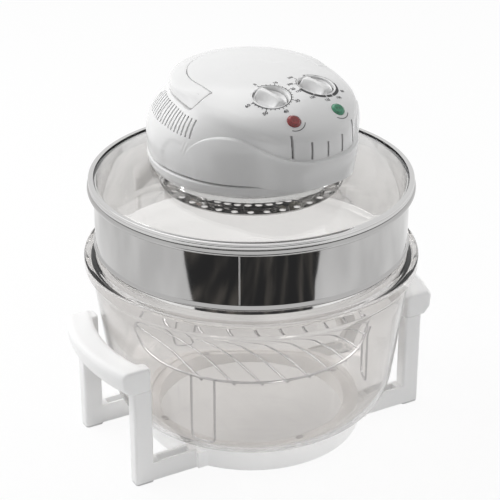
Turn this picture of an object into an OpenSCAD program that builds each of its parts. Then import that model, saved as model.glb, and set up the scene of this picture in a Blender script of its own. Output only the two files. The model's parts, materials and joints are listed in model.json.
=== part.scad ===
// Halogen oven: a glass bowl in a stand, a steel extender ring and a glass lid with a heater head.
// The origin is on the floor, on the bowl's axis. The grips lie along X and the controls face -Y.

/* [Stand] */
// How far the ring reaches beyond the flat of the bowl's underside
ring_out = 14.8; // [12:0.2:20]
// Height of the ring under the bowl
ring_h = 18; // [14:0.5:22]
// Radial width of the ring under the bowl
ring_w = 16; // [12:0.5:22]
// Gap between the bowl and the posts, measured at the top of the grips
post_gap = 0.95; // [0.6:0.05:6]
// Distance of a post's outer face from the axis, along Y
post_y = 66; // [56:0.5:74]
// Width of a post along X
post_w = 19.5; // [14:0.5:22]
// Depth of a post along Y
post_d = 14; // [11:0.5:16]
// Height of the foot arms
arm_h = 20; // [16:0.5:24]
// Gap between the bowl and the curved grips, measured at their top
grip_gap = 6.7; // [4:0.1:12]
// Radial width of the curved grips
grip_w = 27; // [22:0.5:28]
// Height of the curved grips
grip_h = 25; // [18:0.5:30]
// Height of the top of the grips above the floor
grip_top = 128; // [110:1:150]
// Height of the rubber feet
foot_h = 2; // [1:0.25:4]
// Height of the rubber pads that carry the bowl
pad_h = 1.7; // [1:0.1:3]

/* [Bowl] */
// Height of the bowl, from its underside to the top of its rim
bowl_h = 170; // [150:1:200]
// Radial width of the glass rim
rim_w = 11.9; // [9:0.1:16]
// Height of the edge of the glass rim
rim_h = 12; // [8:0.5:16]
// Thickness of the glass behind the step in the rim
neck_t = 9.5; // [8:0.1:11]
// Slope of the wall from the vertical, in degrees
wall_draft = 7.4; // [5:0.1:9]
// Radius of the rounding at the foot of the wall
foot_round = 47; // [36:1:56]
// Thickness of the glass of the bowl
glass_t = 4.5; // [3.5:0.1:5.5]
// Depth of the step in the rim that takes the extender
step_h = 6; // [4:0.5:8]

/* [Rack] */
// How far the rack's ring reaches beyond the flat of the bowl's floor
rack_out = 18.8; // [12:0.2:24]
// Height of the rack's ring above the floor
rack_z = 105; // [80:1:130]
// Diameter of the rack's wires
wire_d = 2.4; // [2:0.1:3]
// Number of wires across the rack
rack_wires = 9; // [5:1:13]
// Width of a looped leg
leg_w = 24; // [16:1:30]

/* [Extender] */
// Outer radius of the extender's wall
ext_r = 152.5; // [135:0.25:170]
// Height of the extender above the glass rim
ext_h = 73; // [50:1:110]
// Thickness of the extender's sheet
sheet_t = 1; // [0.8:0.1:1.4]
// Height of the lower bead above the glass rim
bead_up = 12; // [8:0.5:20]
// Radius of the rolled top rim
roll_r = 3; // [2.5:0.1:3.5]

/* [Lid] */
// Turn of the lid on the extender, in degrees
lid_turn = 6; // [-30:1:30]
// Thickness of the glass of the lid
lid_t = 3.2; // [3:0.1:3.6]
// Rise of the lid's dome from its edge to the head
dome_rise = 16; // [10:0.5:24]
// Radius of the hole in the lid's glass
hole_r = 70; // [60:1:78]
// Radius of the flat part of the lid's glass
flat_r = 97; // [95:0.5:104]
// Thickness of the silicone lining under the glass
seal_t = 0.9; // [0.5:0.1:2]
// Thickness of the silicone lining over the edge of the glass
seal_lip = 0.7; // [0.4:0.1:2]

/* [Head] */
// Radius of the head at its sides
head_r = 100; // [97:0.5:106]
// Distance of the head's nose from the axis
nose_r = 120; // [108:0.5:132]
// How far the control panel's front edge lies behind the nose
panel_in = 15; // [12:0.5:20]
// Height of the upper housing
head_h = 79; // [74:0.5:90]
// Height of the lower housing, from the glass to the parting groove
low_h = 15.4; // [12:0.2:20]
// Wall thickness of the housings
shell_t = 2.5; // [2:0.1:3]
// Height of the belt at the middle of the nose
belt_h = 27; // [20:0.5:30]
// Rise of the belt's top edge towards the sides
belt_rise = 18; // [8:0.5:20]
// How far the belt stands proud of the nose
belt_proud = 4; // [2:0.1:5]

/* [Controls] */
// Distance of each knob from the middle
knob_x = 25.5; // [22:0.5:27]
// Distance of the knobs behind the panel's front edge
knob_in = 38.5; // [35:0.5:43]
// Depth of the knobs' middle below the top of the head
knob_drop = 4.6; // [4:0.1:6]
// Forward tilt of the knobs, in degrees
knob_tilt = 12; // [6:0.5:16]
// Radius of a knob
knob_r = 16; // [13:0.25:17]
// Distance of each light from the middle
lens_x = 24.5; // [20:0.5:28]
// Distance of the lights behind the panel's front edge
lens_in = 4.5; // [3:0.5:8]
// Depth of the lights below the top of the head
lens_drop = 18; // [16:0.5:21]
// Forward tilt of the lights, in degrees
lens_tilt = 33; // [26:1:40]
// Radius of a light's lens
lens_r = 6.5; // [5:0.25:7]
// Number of vents in the nose
nose_vents = 5; // [3:2:7]
// Number of vents in each side
side_vents = 17; // [9:2:19]

/* [Handle] */
// Width of the handle's section
handle_w = 16.5; // [14:0.5:20]
// Radial width of the rounded shoulder outside the top of the handle
shoulder_w = 23; // [20:0.5:28]
// Height of the handle's section
handle_h = 16; // [14:0.5:18]
// Distance of the handle's pivot from the axis, towards the front
pivot_y = 15; // [8:0.5:20]
// Radius of the pivot pins
pin_r = 3; // [2:0.1:3.5]

/* [Heater] */
// Radius of the ring lamp, to the middle of its tube
lamp_r = 60; // [50:0.5:64]
// Diameter of the ring lamp's tube
lamp_d = 10; // [8:0.5:11]
// How far the perforated guard reaches beyond its standoffs
guard_out = 20; // [16:0.5:24]
// Depth of the guard below the reflector
guard_drop = 18; // [16:0.5:21]
// Radius of the convection fan
fan_r = 44; // [34:0.5:46]
// Radius of the motor
motor_r = 28; // [22:0.5:30]
// Height of the motor
motor_h = 34; // [26:0.5:36]
// Radius of the motor's shaft
shaft_r = 3; // [2.5:0.1:4]
// Inner radius of the cord gland
gland_r = 4; // [3:0.1:4.5]

/* [Hidden] */
$fn = 96;

white = [0.93, 0.93, 0.92];
shade = [0.86, 0.86, 0.86];
rubber = [0.16, 0.16, 0.17];
steel = [0.72, 0.73, 0.75];
glass = [0.80, 0.76, 0.74, 0.55];

// Clearances between pieces that lift, turn or slide on each other
seat = 0.3;
slip = 0.6;
run = 0.05;

// Heights, from the floor up
ring_top = foot_h + ring_h;
bowl_z = ring_top + pad_h + seat;
post_top = grip_top - grip_h;
rim_z = bowl_z + bowl_h;
neck_z = rim_z - rim_h - 4;
ledge_z = rim_z - step_h;
bead_z = rim_z + bead_up;
ext_z = ledge_z + seat;
ext_top = rim_z + ext_h;
lid_z = ext_top + seat;
glass_z = lid_z + sheet_t + seal_t;
flat_z = glass_z + dome_rise;
low_z = flat_z + lid_t + 0.2;
head_z = low_z + low_h;
top_z = head_z + head_h;

// Radii of the extender, the bowl, the lid, the stand and the rack
wall_slope = tan(wall_draft);
skin_t = glass_t / cos(wall_draft);
skirt_r = ext_r - sheet_t;
pocket_r = skirt_r + slip;
ledge_r = skirt_r - sheet_t - 2.5;
neck_r = ledge_r + neck_t;
rim_r = pocket_r + rim_w;
foot_z = bowl_z + foot_round;
foot_cr = neck_r + ((foot_z - neck_z) * sin(wall_draft) - foot_round) / cos(wall_draft);
roll_cr = ext_r + roll_r - 0.1;
band_r = roll_cr + 1.6;
edge_r = band_r - sheet_t - 1.2;
function wall_at(z) = neck_r - (neck_z - z) * wall_slope;
ring_r = foot_cr + ring_out;
rack_r = foot_cr + rack_out;
grip_in = wall_at(grip_top) + grip_gap;
grip_r = grip_in + grip_w;
post_x = sqrt(pow(wall_at(grip_top), 2) - pow(post_y - post_d, 2)) + post_gap + post_w;

// Points along an arc, from one angle to another in equal steps
function arc(cx, cy, r, a0, a1, n) =
    [for (i = [0:n]) let (a = a0 + (a1 - a0) * i / n) [cx + r * cos(a), cy + r * sin(a)]];
function soft_min(a, b) = pow(pow(a, -24) + pow(b, -24), -1 / 24);
function wrap(a) = a > 180 ? 360 - a : a;

// Rounded rectangle about the origin, from plain squares and circles
module round_rect(w, d, r) {
    square([w - 2 * r, d], center = true);
    square([w, d - 2 * r], center = true);
    for (sx = [-1, 1], sy = [-1, 1]) translate([sx * (w / 2 - r), sy * (d / 2 - r)]) circle(r, $fn = 32);
}

module tube(r_out, r_in, h) {
    difference() {
        cylinder(r = r_out, h = h);
        translate([0, 0, -1]) cylinder(r = r_in, h = h + 2);
    }
}

// What follows belongs to the lid and turns with it
module on_lid() {
    rotate([0, 0, lid_turn]) children();
}

// Stand

arm_y = post_y - post_d / 2;
arm_in = sqrt(pow(ring_r, 2) - pow(arm_y + post_d / 2, 2)) - 6;
arm_len = post_x - arm_in;
socket_wall = 3;
socket_depth = 14;
screw_r = 2;
screw_deep = 2.6;

lip_gap = 0.8;
lip_r = foot_cr + 8;
lip_in = asin((lip_r - foot_cr) / (foot_round + lip_gap));
lip_out = asin((ring_r - 1 - foot_cr) / (foot_round + lip_gap));
tongue_h = ring_h - 3.2;
screw_x = arm_in + socket_depth / 2;

// Copies at the four corners of the stand
module corners() {
    for (sx = [0, 1], sy = [0, 1]) mirror([sx, 0, 0]) mirror([0, sy, 0]) children();
}

// Ring with a lip that follows the bowl, and four sockets that take the foot arms
module base_ring() {
    color(white) difference() {
        union() {
            rotate_extrude() polygon(concat(
                [[ring_r - ring_w, foot_h], [ring_r, foot_h], [ring_r, ring_top + 2]],
                arc(foot_cr, foot_z, foot_round + lip_gap, -90 + lip_out, -90 + lip_in, 4),
                [[lip_r, ring_top], [ring_r - ring_w, ring_top]]
            ));
            corners() translate([arm_in - 10, arm_y - post_d / 2 - socket_wall, foot_h])
                cube([socket_depth + 10, post_d + 2 * socket_wall, ring_h - 1]);
        }
        translate([0, 0, foot_h - 1]) cylinder(r = ring_r - ring_w, h = ring_h + 2);
        corners() {
            translate([arm_in, arm_y - post_d / 2 - 0.1, foot_h - 1])
                cube([arm_len, post_d + 0.2, tongue_h + 1.2]);
            translate([arm_in + socket_depth - 0.1, arm_y - post_d / 2 - 0.1, foot_h])
                cube([arm_len, post_d + 0.2, 2 * arm_h]);
            translate([screw_x, arm_y, foot_h]) cylinder(r = screw_r + run, h = ring_h - 0.4, $fn = 24);
        }
    }
}

// Post and foot arm of one corner, with a hollowed arm and a hollowed post
module leg(sx, sy) {
    color(white) mirror([sx, 0, 0]) mirror([0, sy, 0]) difference() {
        union() {
            translate([post_x - post_w / 2, arm_y, foot_h])
                linear_extrude(post_top - foot_h) round_rect(post_w, post_d, 3);
            translate([arm_in + 0.2, arm_y - post_d / 2, foot_h]) cube([socket_depth, post_d, tongue_h]);
            translate([arm_in + socket_depth, arm_y - post_d / 2, foot_h])
                cube([arm_len - socket_depth - 4, post_d, arm_h]);
        }
        translate([screw_x, arm_y, foot_h - 1]) {
            cylinder(r = screw_r + run, h = ring_h, $fn = 24);
            cylinder(r = screw_r + 1.8, h = screw_deep + 1, $fn = 24);
        }
        translate([arm_in + socket_depth + 6, arm_y - post_d / 2 + 2.5, foot_h + 3])
            cube([arm_len - socket_depth - post_w - 12, post_d - 5, arm_h]);
        translate([post_x - post_w / 2, arm_y, foot_h - 1])
            linear_extrude(post_top - 40) round_rect(post_w - 6, post_d - 6, 1.5);
    }
}

grip_cut = [
    [grip_in + 4, post_top],
    [grip_r - 7, post_top],
    [grip_r - 1, post_top + 7],
    [grip_r, grip_top - 5],
    [grip_r - 1.5, grip_top - 1.5],
    [grip_r - 5, grip_top],
    [grip_in + 5, grip_top],
    [grip_in + 1, grip_top - 2.5],
    [grip_in, grip_top - 9]
];
grip_half = asin(post_y / grip_in) + 1;
grip_end = post_y + 0.75;

// Curved grip, concentric with the bowl, with a block over each post
module grip(side) {
    color(white) mirror([side, 0, 0]) {
        intersection() {
            rotate([0, 0, -grip_half]) rotate_extrude(angle = 2 * grip_half) polygon(grip_cut);
            translate([0, -grip_end, post_top - 1]) cube([2 * grip_r, 2 * grip_end, grip_h + 2]);
        }
        for (sy = [0, 1]) mirror([0, sy, 0]) translate([post_x - post_w / 2 + 2.5, arm_y, post_top])
            linear_extrude(grip_h - 1.2) round_rect(post_w + 4, 2 * (grip_end - arm_y), 4);
    }
}

module foot_pads() {
    color(rubber) {
        corners() translate([post_x - post_w / 2, arm_y]) linear_extrude(foot_h) difference() {
            round_rect(post_w - 1, post_d - 1, 3);
            round_rect(post_w - 8, post_d - 8, 1.5);
        }
        for (a = [0:90:270]) rotate([0, 0, a])
            translate([ring_r - ring_w / 2, 0]) cylinder(r = 5, h = foot_h);
    }
}

module bowl_pads() {
    color(rubber) for (a = [0:90:270]) rotate([0, 0, a])
        translate([ring_r - ring_w + 4.5, 0, ring_top]) cylinder(r = 4, h = pad_h);
}

// Screws that hold the foot arms in their sockets, from below
module leg_screws() {
    color(steel) corners() translate([screw_x, arm_y, foot_h]) {
        translate([0, 0, screw_deep - 1.5]) cylinder(r = screw_r + 1.5, h = 1.4, $fn = 24);
        translate([0, 0, screw_deep - 0.1]) cylinder(r = screw_r, h = ring_h - screw_deep - 0.5, $fn = 24);
    }
}

// Bowl

module glass_bowl() {
    color(glass) rotate_extrude() polygon(concat(
        [[0, bowl_z]],
        arc(foot_cr, foot_z, foot_round, -90, -wall_draft, 14),
        [[neck_r, neck_z], [rim_r - 1, rim_z - rim_h - 1]],
        arc(rim_r - 2, rim_z - rim_h + 1, 2, -30, 0, 2),
        arc(rim_r - 3, rim_z - 3, 3, 0, 90, 4),
        [[pocket_r, rim_z], [pocket_r, ledge_z], [ledge_r, ledge_z], [ledge_r, neck_z]],
        [[wall_at(neck_z - 12) - skin_t, neck_z - 12]],
        arc(foot_cr, foot_z, foot_round - glass_t, -wall_draft, -90, 14),
        [[0, bowl_z + glass_t]]
    ));
}

// Rack

wire_r = wire_d / 2;
leg_pr = rack_r + wire_d + run;
leg_bend = 7;
leg_reach = sqrt(pow(leg_pr, 2) + pow(leg_w / 2 - leg_bend, 2));
leg_clear = foot_round - glass_t - wire_r - seat;
leg_low = foot_z - sqrt(pow(leg_clear, 2) - pow(max(0, leg_reach - foot_cr), 2));
wire_gap = 2 * rack_r / (rack_wires + 1);
leg_angles = [98, 218, 338];

module rack_ring() {
    color(steel) translate([0, 0, rack_z])
        rotate_extrude() translate([rack_r, 0]) circle(wire_r, $fn = 24);
}

// Wires across the rack, welded under its ring
module rack_grid() {
    color(steel) for (i = [1:rack_wires]) let (
        x = -rack_r + i * wire_gap,
        half = sqrt(pow(rack_r, 2) - pow(x, 2))
    ) translate([x, half, rack_z - wire_d - run]) rotate([90, 0, 0])
        cylinder(r = wire_r, h = 2 * half, $fn = 24);
}

// One looped leg, welded to the outside of the ring: two uprights joined by bends and a foot
module rack_leg() {
    for (s = [-1, 1]) {
        translate([leg_pr, s * leg_w / 2, leg_low + leg_bend])
            cylinder(r = wire_r, h = rack_z - leg_low - leg_bend + wire_r, $fn = 24);
        translate([leg_pr, s * (leg_w / 2 - leg_bend), leg_low + leg_bend]) rotate([90, 0, 90])
            rotate([0, 0, s > 0 ? -90 : 180]) rotate_extrude(angle = 90, $fn = 48)
                translate([leg_bend, 0]) circle(wire_r, $fn = 24);
    }
    translate([leg_pr, leg_w / 2 - leg_bend, leg_low]) rotate([90, 0, 0])
        cylinder(r = wire_r, h = leg_w - 2 * leg_bend, $fn = 24);
}

module rack_legs() {
    color(steel) for (a = leg_angles) rotate([0, 0, a]) rack_leg();
}

// Extender

seam_angle = 237;

module extender_ring() {
    color(steel) {
        rotate_extrude() polygon(concat(
            [[skirt_r - sheet_t, ext_z], [skirt_r, ext_z], [skirt_r, bead_z - 2.4]],
            arc(skirt_r + 0.6, bead_z, 2.2, -70, 70, 6),
            [[ext_r, bead_z + 2.4], [ext_r, ext_top - 1.6 * roll_r]],
            arc(roll_cr, ext_top - roll_r, roll_r, -150, 90, 16),
            [[roll_cr - 1.6, ext_top - 0.6], [ext_r - sheet_t, ext_top - 1.5 * roll_r]],
            [[ext_r - sheet_t, bead_z + 2.4], [skirt_r - sheet_t, bead_z - 2.4]]
        ));
        rotate([0, 0, seam_angle]) translate([ext_r - 0.6, -1.5, bead_z + 3])
            cube([0.85, 3, ext_top - bead_z - 3 - 2 * roll_r]);
    }
}

// Lid

dome_r = edge_r - 4;
function dome_at(r) = glass_z + dome_rise * (1 - pow((r - flat_r) / (dome_r - flat_r), 1.35));

// Domed glass with a flat middle, clamped between the housing and the reflector
module glass_lid() {
    steps = 8;
    curve = [for (i = [0:steps]) let (r = dome_r + (flat_r - dome_r) * i / steps) [r, dome_at(r)]];
    color(glass) rotate_extrude() polygon(concat(
        [[edge_r, glass_z]], curve, [[hole_r, flat_z], [hole_r, flat_z + lid_t]],
        [for (i = [steps:-1:0]) [curve[i][0], curve[i][1] + lid_t]],
        [[edge_r, glass_z + lid_t]]
    ));
}

lap_t = 0.8;
lap_w = 5;
lap_z = glass_z + lid_t + seal_lip;
spigot_in = skirt_r - 2.4;
spigot_deep = 8;

// Steel channel round the glass, with a skirt that drops inside the extender
module lid_band() {
    color(steel) rotate_extrude() polygon([
        [spigot_in, lid_z - spigot_deep], [spigot_in + sheet_t, lid_z - spigot_deep],
        [spigot_in + sheet_t, lid_z], [band_r - 1, lid_z], [band_r, lid_z + 1],
        [band_r, lap_z + lap_t - 1], [band_r - 1, lap_z + lap_t], [band_r - lap_w, lap_z + lap_t],
        [band_r - lap_w, lap_z], [band_r - sheet_t, lap_z], [band_r - sheet_t, lid_z + sheet_t],
        [spigot_in, lid_z + sheet_t]
    ]);
}

// Silicone lining between the band and the glass
module lid_seal() {
    gap = 0.05;
    color(rubber) rotate_extrude() polygon([
        [edge_r - 4, lid_z + sheet_t + gap], [band_r - sheet_t - gap, lid_z + sheet_t + gap],
        [band_r - sheet_t - gap, lap_z - gap], [edge_r - 2.5, lap_z - gap],
        [edge_r - 2.5, glass_z + lid_t + gap], [edge_r + gap, glass_z + lid_t + gap],
        [edge_r + gap, glass_z - gap], [edge_r - 4, glass_z - gap]
    ]);
}

// Head form

head_side = head_z + 17;
panel_r = nose_r - panel_in;
panel_fall = 18;
band_top_r = head_r - shoulder_w;
handle_in = band_top_r - handle_w;
ledge_top = top_z - 20;
knob_y = panel_r - knob_in;
lens_y = panel_r - lens_in;

function smooth(a, b, z) = let (t = max(0, min(1, (z - a) / (b - a)))) t * t * (3 - 2 * t);
function level(z) = max(0, min(1, (z - head_side) / (top_z - head_side)));
function side_r(z) = (head_r - 0.07 * max(0, head_side - z)) * pow(max(0, 1 - pow(level(z), 3.3)), 1 / 2.6);
function shoulder_r(z) = (head_r - 0.07 * max(0, head_side - z)) * sqrt(max(0, 1 - pow(level(z), 2)));
function band_at(z) = band_top_r * pow(max(0, 1 - pow(max(0, (z - top_z + 12) / 12), 2.2)), 1 / 1.35);
function rear_r(z) = z > top_z - 24 ? max(shoulder_r(z), band_at(z)) : shoulder_r(z);
function panel_at(z) = panel_r * pow(max(0.001, top_z - z) / panel_fall, 0.25);
function front_r(z) = soft_min(nose_r - 0.1 * max(0, head_side - z), panel_at(z));
function nose_share(phi, z) = exp(-pow(phi / (27 + 23 * smooth(top_z - 36, top_z - 13, z)), 4));
function rear_share(phi) = 1 / (1 + exp((80 - phi) / 6));
// Radius of the head at an angle from the front, at a height
function head_at(phi, z) = let (s = nose_share(phi, z), b = rear_share(phi))
    s * front_r(z) + (1 - s) * ((1 - b) * side_r(z) + b * rear_r(z));

belt_peak = 48;
belt_end = 74;
belt_low = 8;
lip_soft = 1.4;
peak_z = head_z + belt_h + belt_rise;
function belt_way(phi) = max(0, 1 - pow((phi - belt_peak) / (belt_end - belt_peak), 2));
// Height of the belt's top edge, which rises from the nose and then falls in an arch
function lip_z(phi) = phi < belt_peak
    ? peak_z - belt_rise * (1 + cos(180 * pow(phi / belt_peak, 1.3))) / 2
    : head_z + belt_low + (peak_z - head_z - belt_low) * sqrt(belt_way(phi));
// How far the belt stands out, which fades towards its rear end and its lower edge
function proud(phi, v) =
    belt_proud * (1 - smooth(belt_peak - 10, belt_end, phi)) * (0.4 + 0.6 * smooth(0, 1, v));

// Closed solid of the head's outer form, grown by a distance, with rows that follow the belt's edge
module head_form(grow, low, around, up, belt) {
    high = top_z + grow - 0.5;
    rows = belt ? 4 : 0;
    function reach(a, z, out) = max(4, head_at(wrap(a), z - grow) + grow) + out;
    function spot(a, z, out) = [reach(a, z, out) * sin(a), -reach(a, z, out) * cos(a), z];
    function belt_row(a, z, v) = spot(a, z, proud(wrap(a), v));
    function column(a) = let (
        edge = belt ? lip_z(wrap(a)) : low - lip_soft,
        first = edge + lip_soft
    ) concat(
        [for (i = [0:1:rows - 1]) belt_row(a, low + (edge - lip_soft - low) * i / rows, i / rows)],
        belt ? [belt_row(a, edge - lip_soft, 1), spot(a, edge, 0.75 * proud(wrap(a), 1))] : [],
        [for (i = [0:up]) spot(a, first + (high - first) * (1 - pow(1 - i / up, 1.6)), 0)]
    );
    columns = [for (k = [0:around - 1]) column(360 * k / around)];
    n = len(columns[0]);
    polyhedron([for (j = [0:n - 1], k = [0:around - 1]) columns[k][j]], concat(
        [[for (k = [0:around - 1]) k]],
        [for (j = [0:n - 2], k = [0:around - 1]) let (m = (k + 1) % around)
            [j * around + k, (j + 1) * around + k, (j + 1) * around + m]],
        [for (j = [0:n - 2], k = [0:around - 1]) let (m = (k + 1) % around)
            [j * around + k, (j + 1) * around + m, j * around + m]],
        [[for (k = [around - 1:-1:0]) (n - 1) * around + k]]
    ));
}

// Lower housing

spigot_r = head_r - 8;
axle_hole = shaft_r + 3;

// Holes for the screws that clamp the glass
module clamp_holes(z) {
    for (a = screw_angles) rotate([0, 0, a]) translate([clamp_r, 0, z])
        cylinder(r = screw_r + 0.3, h = lid_t + 3, $fn = 24);
}

slot_in = 22;
slot_l = 22;
slot_w = 4;
module air_slots(z) {
    for (a = [0:30:330]) rotate([0, 0, a]) translate([slot_in, -slot_w / 2, z])
        cube([slot_l, slot_w, shell_t + 2]);
}

// White dish under the head, with a floor on the glass and a spigot under the upper housing
module lower_housing() {
    color(white) on_lid() difference() {
        rotate_extrude() polygon([
            [axle_hole, low_z], [head_r - 7, low_z], [head_r - 3, low_z + 1.5], [head_r - 1.2, low_z + 5],
            [head_r - 0.5, head_z - 3], [head_r - 1.5, head_z - 2.2], [spigot_r, head_z - 2.2],
            [spigot_r, head_z], [spigot_r - shell_t, head_z], [spigot_r - shell_t, head_z - 4.7],
            [head_r - shell_t - 0.5, head_z - 5.5], [head_r - shell_t - 1.2, low_z + 5.5],
            [head_r - shell_t - 4, low_z + shell_t], [axle_hole, low_z + shell_t]
        ]);
        air_slots(low_z - 1);
        clamp_holes(low_z - 1);
    }
}

// Upper housing

pivot_z = ledge_top + 0.3 + handle_h / 2;
end_r = handle_h / 2;
notch_in = handle_in - 0.5;
beyond = nose_r + 10;

// Plan of the handle: outside a U whose round end faces the rear
module handle_plan(inner) {
    difference() {
        translate([-beyond, -pivot_y]) square([2 * beyond, beyond + pivot_y]);
        circle(inner);
        translate([-inner, -beyond]) square([2 * inner, beyond]);
    }
}

// Space that the folded handle needs in the housing
module handle_space(inner, low, reach) {
    translate([0, 0, low]) linear_extrude(3 * handle_h) handle_plan(inner);
    for (sx = [0, 1]) mirror([sx, 0, 0]) translate([inner, -pivot_y, pivot_z]) {
        rotate([0, 90, 0]) cylinder(r = reach, h = head_r - inner, $fn = 64);
        translate([0, -reach, 0]) cube([head_r - inner, reach, 2 * handle_h]);
    }
}

module control_at(x, y, drop, tilt) {
    translate([x, -y, top_z - drop]) rotate([tilt, 0, 0]) children();
}

well_r = knob_r + 0.6;
well_h = 8;
cup_t = 2;
vent_w = 2;
nose_half = 33.5;
nose_gap = 2 * nose_half / (nose_vents - 1);
nose_rise = 16;
nose_bend = 11;
side_front = 35;
side_run = 86;
side_tall = 16.5;
side_z = ledge_top - 4.5 - side_tall;
vent_pitch = side_run / (side_vents - 1);

module upper_housing() {
    color(white) on_lid() difference() {
        union() {
            difference() {
                difference() {
                    head_form(0, head_z, 72, 15, true);
                    handle_space(notch_in, ledge_top, end_r + 0.6);
                }
                difference() {
                    head_form(-shell_t, head_z + shell_t, 36, 9, false);
                    handle_space(notch_in - shell_t, ledge_top - shell_t, end_r + 0.6 + shell_t);
                }
            }
            for (sx = [-1, 1]) {
                control_at(sx * knob_x, knob_y, knob_drop, knob_tilt)
                    translate([0, 0, -well_h - cup_t]) cylinder(r = well_r + cup_t, h = well_h + cup_t - 1.6);
                translate([sx * (notch_in - shell_t), -pivot_y, pivot_z]) rotate([0, sx * -90, 0])
                    cylinder(r = pin_r + 3, h = 5, $fn = 32);
            }
        }
        for (sx = [-1, 1]) {
            control_at(sx * knob_x, knob_y, knob_drop, knob_tilt) {
                translate([0, 0, -well_h]) cylinder(r = well_r, h = well_h + 9);
                translate([0, 0, -well_h - cup_t - 1]) cylinder(r = shaft_r + 0.3, h = cup_t + 2, $fn = 32);
            }
            control_at(sx * lens_x, lens_y, lens_drop, lens_tilt)
                translate([0, 0, -12]) cylinder(r = lens_r + 0.1, h = 24, $fn = 48);
            translate([sx * notch_in, -pivot_y, pivot_z]) rotate([0, sx * -90, 0])
                translate([0, 0, -1]) cylinder(r = pin_r + run, h = 12, $fn = 32);
            translate([sx * (head_r - 34), -side_front, side_z]) mirror([sx < 0 ? 1 : 0, 0, 0])
                for (i = [0:side_vents - 1]) translate([0, i * vent_pitch, 0]) cube([40, vent_w, side_tall]);
        }
        translate([0, 0, head_z - 1]) cylinder(r = spigot_r - 1.5, h = shell_t + 2);
        for (i = [0:nose_vents - 1]) let (
            x = (i - (nose_vents - 1) / 2) * nose_gap,
            low = lip_z(atan2(abs(x), panel_r)) + lip_soft,
            high = head_z + belt_h + nose_rise + pow(x / nose_bend, 2)
        ) translate([x - vent_w / 2, -nose_r - 5, low]) cube([vent_w, 30, high - low]);
        translate([0, head_r - 14, gland_z]) rotate([-90, 0, 0]) cylinder(r = gland_or, h = 30, $fn = 48);
        translate([switch_x, switch_y, ledge_top - 8]) cylinder(r = plunger_r + 0.3, h = 12, $fn = 32);
    }
}

// Heater, under the glass

pan_z = flat_z - 0.2;
pan_h = 4;
pan_r = flat_r - 9;
clamp_r = hole_r - 8;
screw_angles = [15, 135, 255];
head_t = 1.5;
head_lap = 1.6;
post_r = 2.5;
post_ring = lamp_r + lamp_d / 2 + post_r + 0.5;
post_angles = [75, 195, 315];
guard_r = post_ring + guard_out;
guard_z = pan_z - sheet_t - guard_drop;
lamp_z = pan_z - sheet_t - head_t - 1.5 - lamp_d / 2;

// Steel dish that clamps the glass from below and throws the heat down
module reflector_pan() {
    color(steel) on_lid() difference() {
        rotate_extrude() polygon([
            [axle_hole, pan_z - sheet_t], [pan_r - 3, pan_z - sheet_t], [pan_r - 1, pan_z - pan_h],
            [pan_r, pan_z - pan_h], [pan_r - 2, pan_z], [axle_hole, pan_z]
        ]);
        clamp_holes(pan_z - 2);
    }
}

module insulation_disc() {
    color([0.85, 0.83, 0.78]) on_lid() difference() {
        translate([0, 0, pan_z + 0.05]) tube(hole_r - 1, axle_hole, lid_t + 0.25);
        clamp_holes(pan_z - 1);
    }
}

shield_z = low_z + shell_t + 0.05;
shield_t = 0.8;
inner_z = shield_z + shield_t + 0.05;
// Steel disc on the housing's floor, with the same air slots
module heat_shield() {
    color(steel) on_lid() difference() {
        translate([0, 0, shield_z]) tube(spigot_r - 6, axle_hole, shield_t);
        clamp_holes(shield_z - 1);
        air_slots(shield_z - 1);
    }
}

lamp_open = 20;
socket_t = 4.8;

// Ring lamp, open where its ends turn up into the sockets
module halogen_lamp() {
    color([0.95, 0.93, 0.88, 0.8]) on_lid() rotate([0, 0, -90 + lamp_open / 2]) translate([0, 0, lamp_z])
        rotate_extrude(angle = 360 - lamp_open) translate([lamp_r, 0]) circle(lamp_d / 2, $fn = 32);
}

module lamp_sockets() {
    socket_a = lamp_open / 2 - asin((socket_t / 2 + seat) / lamp_r);
    color([0.9, 0.88, 0.82]) on_lid() for (s = [-1, 1])
        rotate([0, 0, -90 + s * socket_a]) translate([lamp_r, 0, lamp_z]) {
            rotate([90, 0, 0]) cylinder(r = lamp_d / 2 + 0.6, h = socket_t, center = true, $fn = 32);
            translate([-3.5, -socket_t / 2, 0]) cube([7, socket_t, pan_z - sheet_t - 0.05 - lamp_z]);
        }
}

guard_hole = 3.1;
// Rings of holes in the guard: distance from the standoffs' ring, number, radius
hole_rings = [
    [11, 33, guard_hole], [-8, 38, guard_hole + 0.4], [-18, 30, guard_hole],
    [-30, 20, guard_hole], [-42, 12, guard_hole]
];
module hole_ring(r, count, size) {
    for (i = [0:count - 1]) rotate([0, 0, 360 * (i + 0.5) / count]) translate([r, 0, guard_z - 2])
        cylinder(r = size, h = 6, $fn = 20);
}

// Perforated dish under the lamp and the fan
module fan_guard() {
    color(steel) on_lid() difference() {
        rotate_extrude() polygon([
            [0, guard_z - 0.8], [post_ring + 3, guard_z - 0.8], [post_ring + 5, guard_z + 0.4],
            [guard_r - 3, guard_z + 0.4], [guard_r - 1, guard_z + 2.4], [guard_r, guard_z + 2.4],
            [guard_r, guard_z + 3.4], [guard_r - 1.8, guard_z + 3.4], [guard_r - 3.6, guard_z + 1.4],
            [post_ring + 4.6, guard_z + 1.4], [post_ring + 2.6, guard_z + 0.2], [0, guard_z + 0.2]
        ]);
        for (row = hole_rings) hole_ring(post_ring + row[0], row[1], row[2]);
        for (a = post_angles) rotate([0, 0, a]) translate([post_ring, 0, guard_z - 2])
            cylinder(r = 1.6, h = 6, $fn = 24);
    }
}

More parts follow.
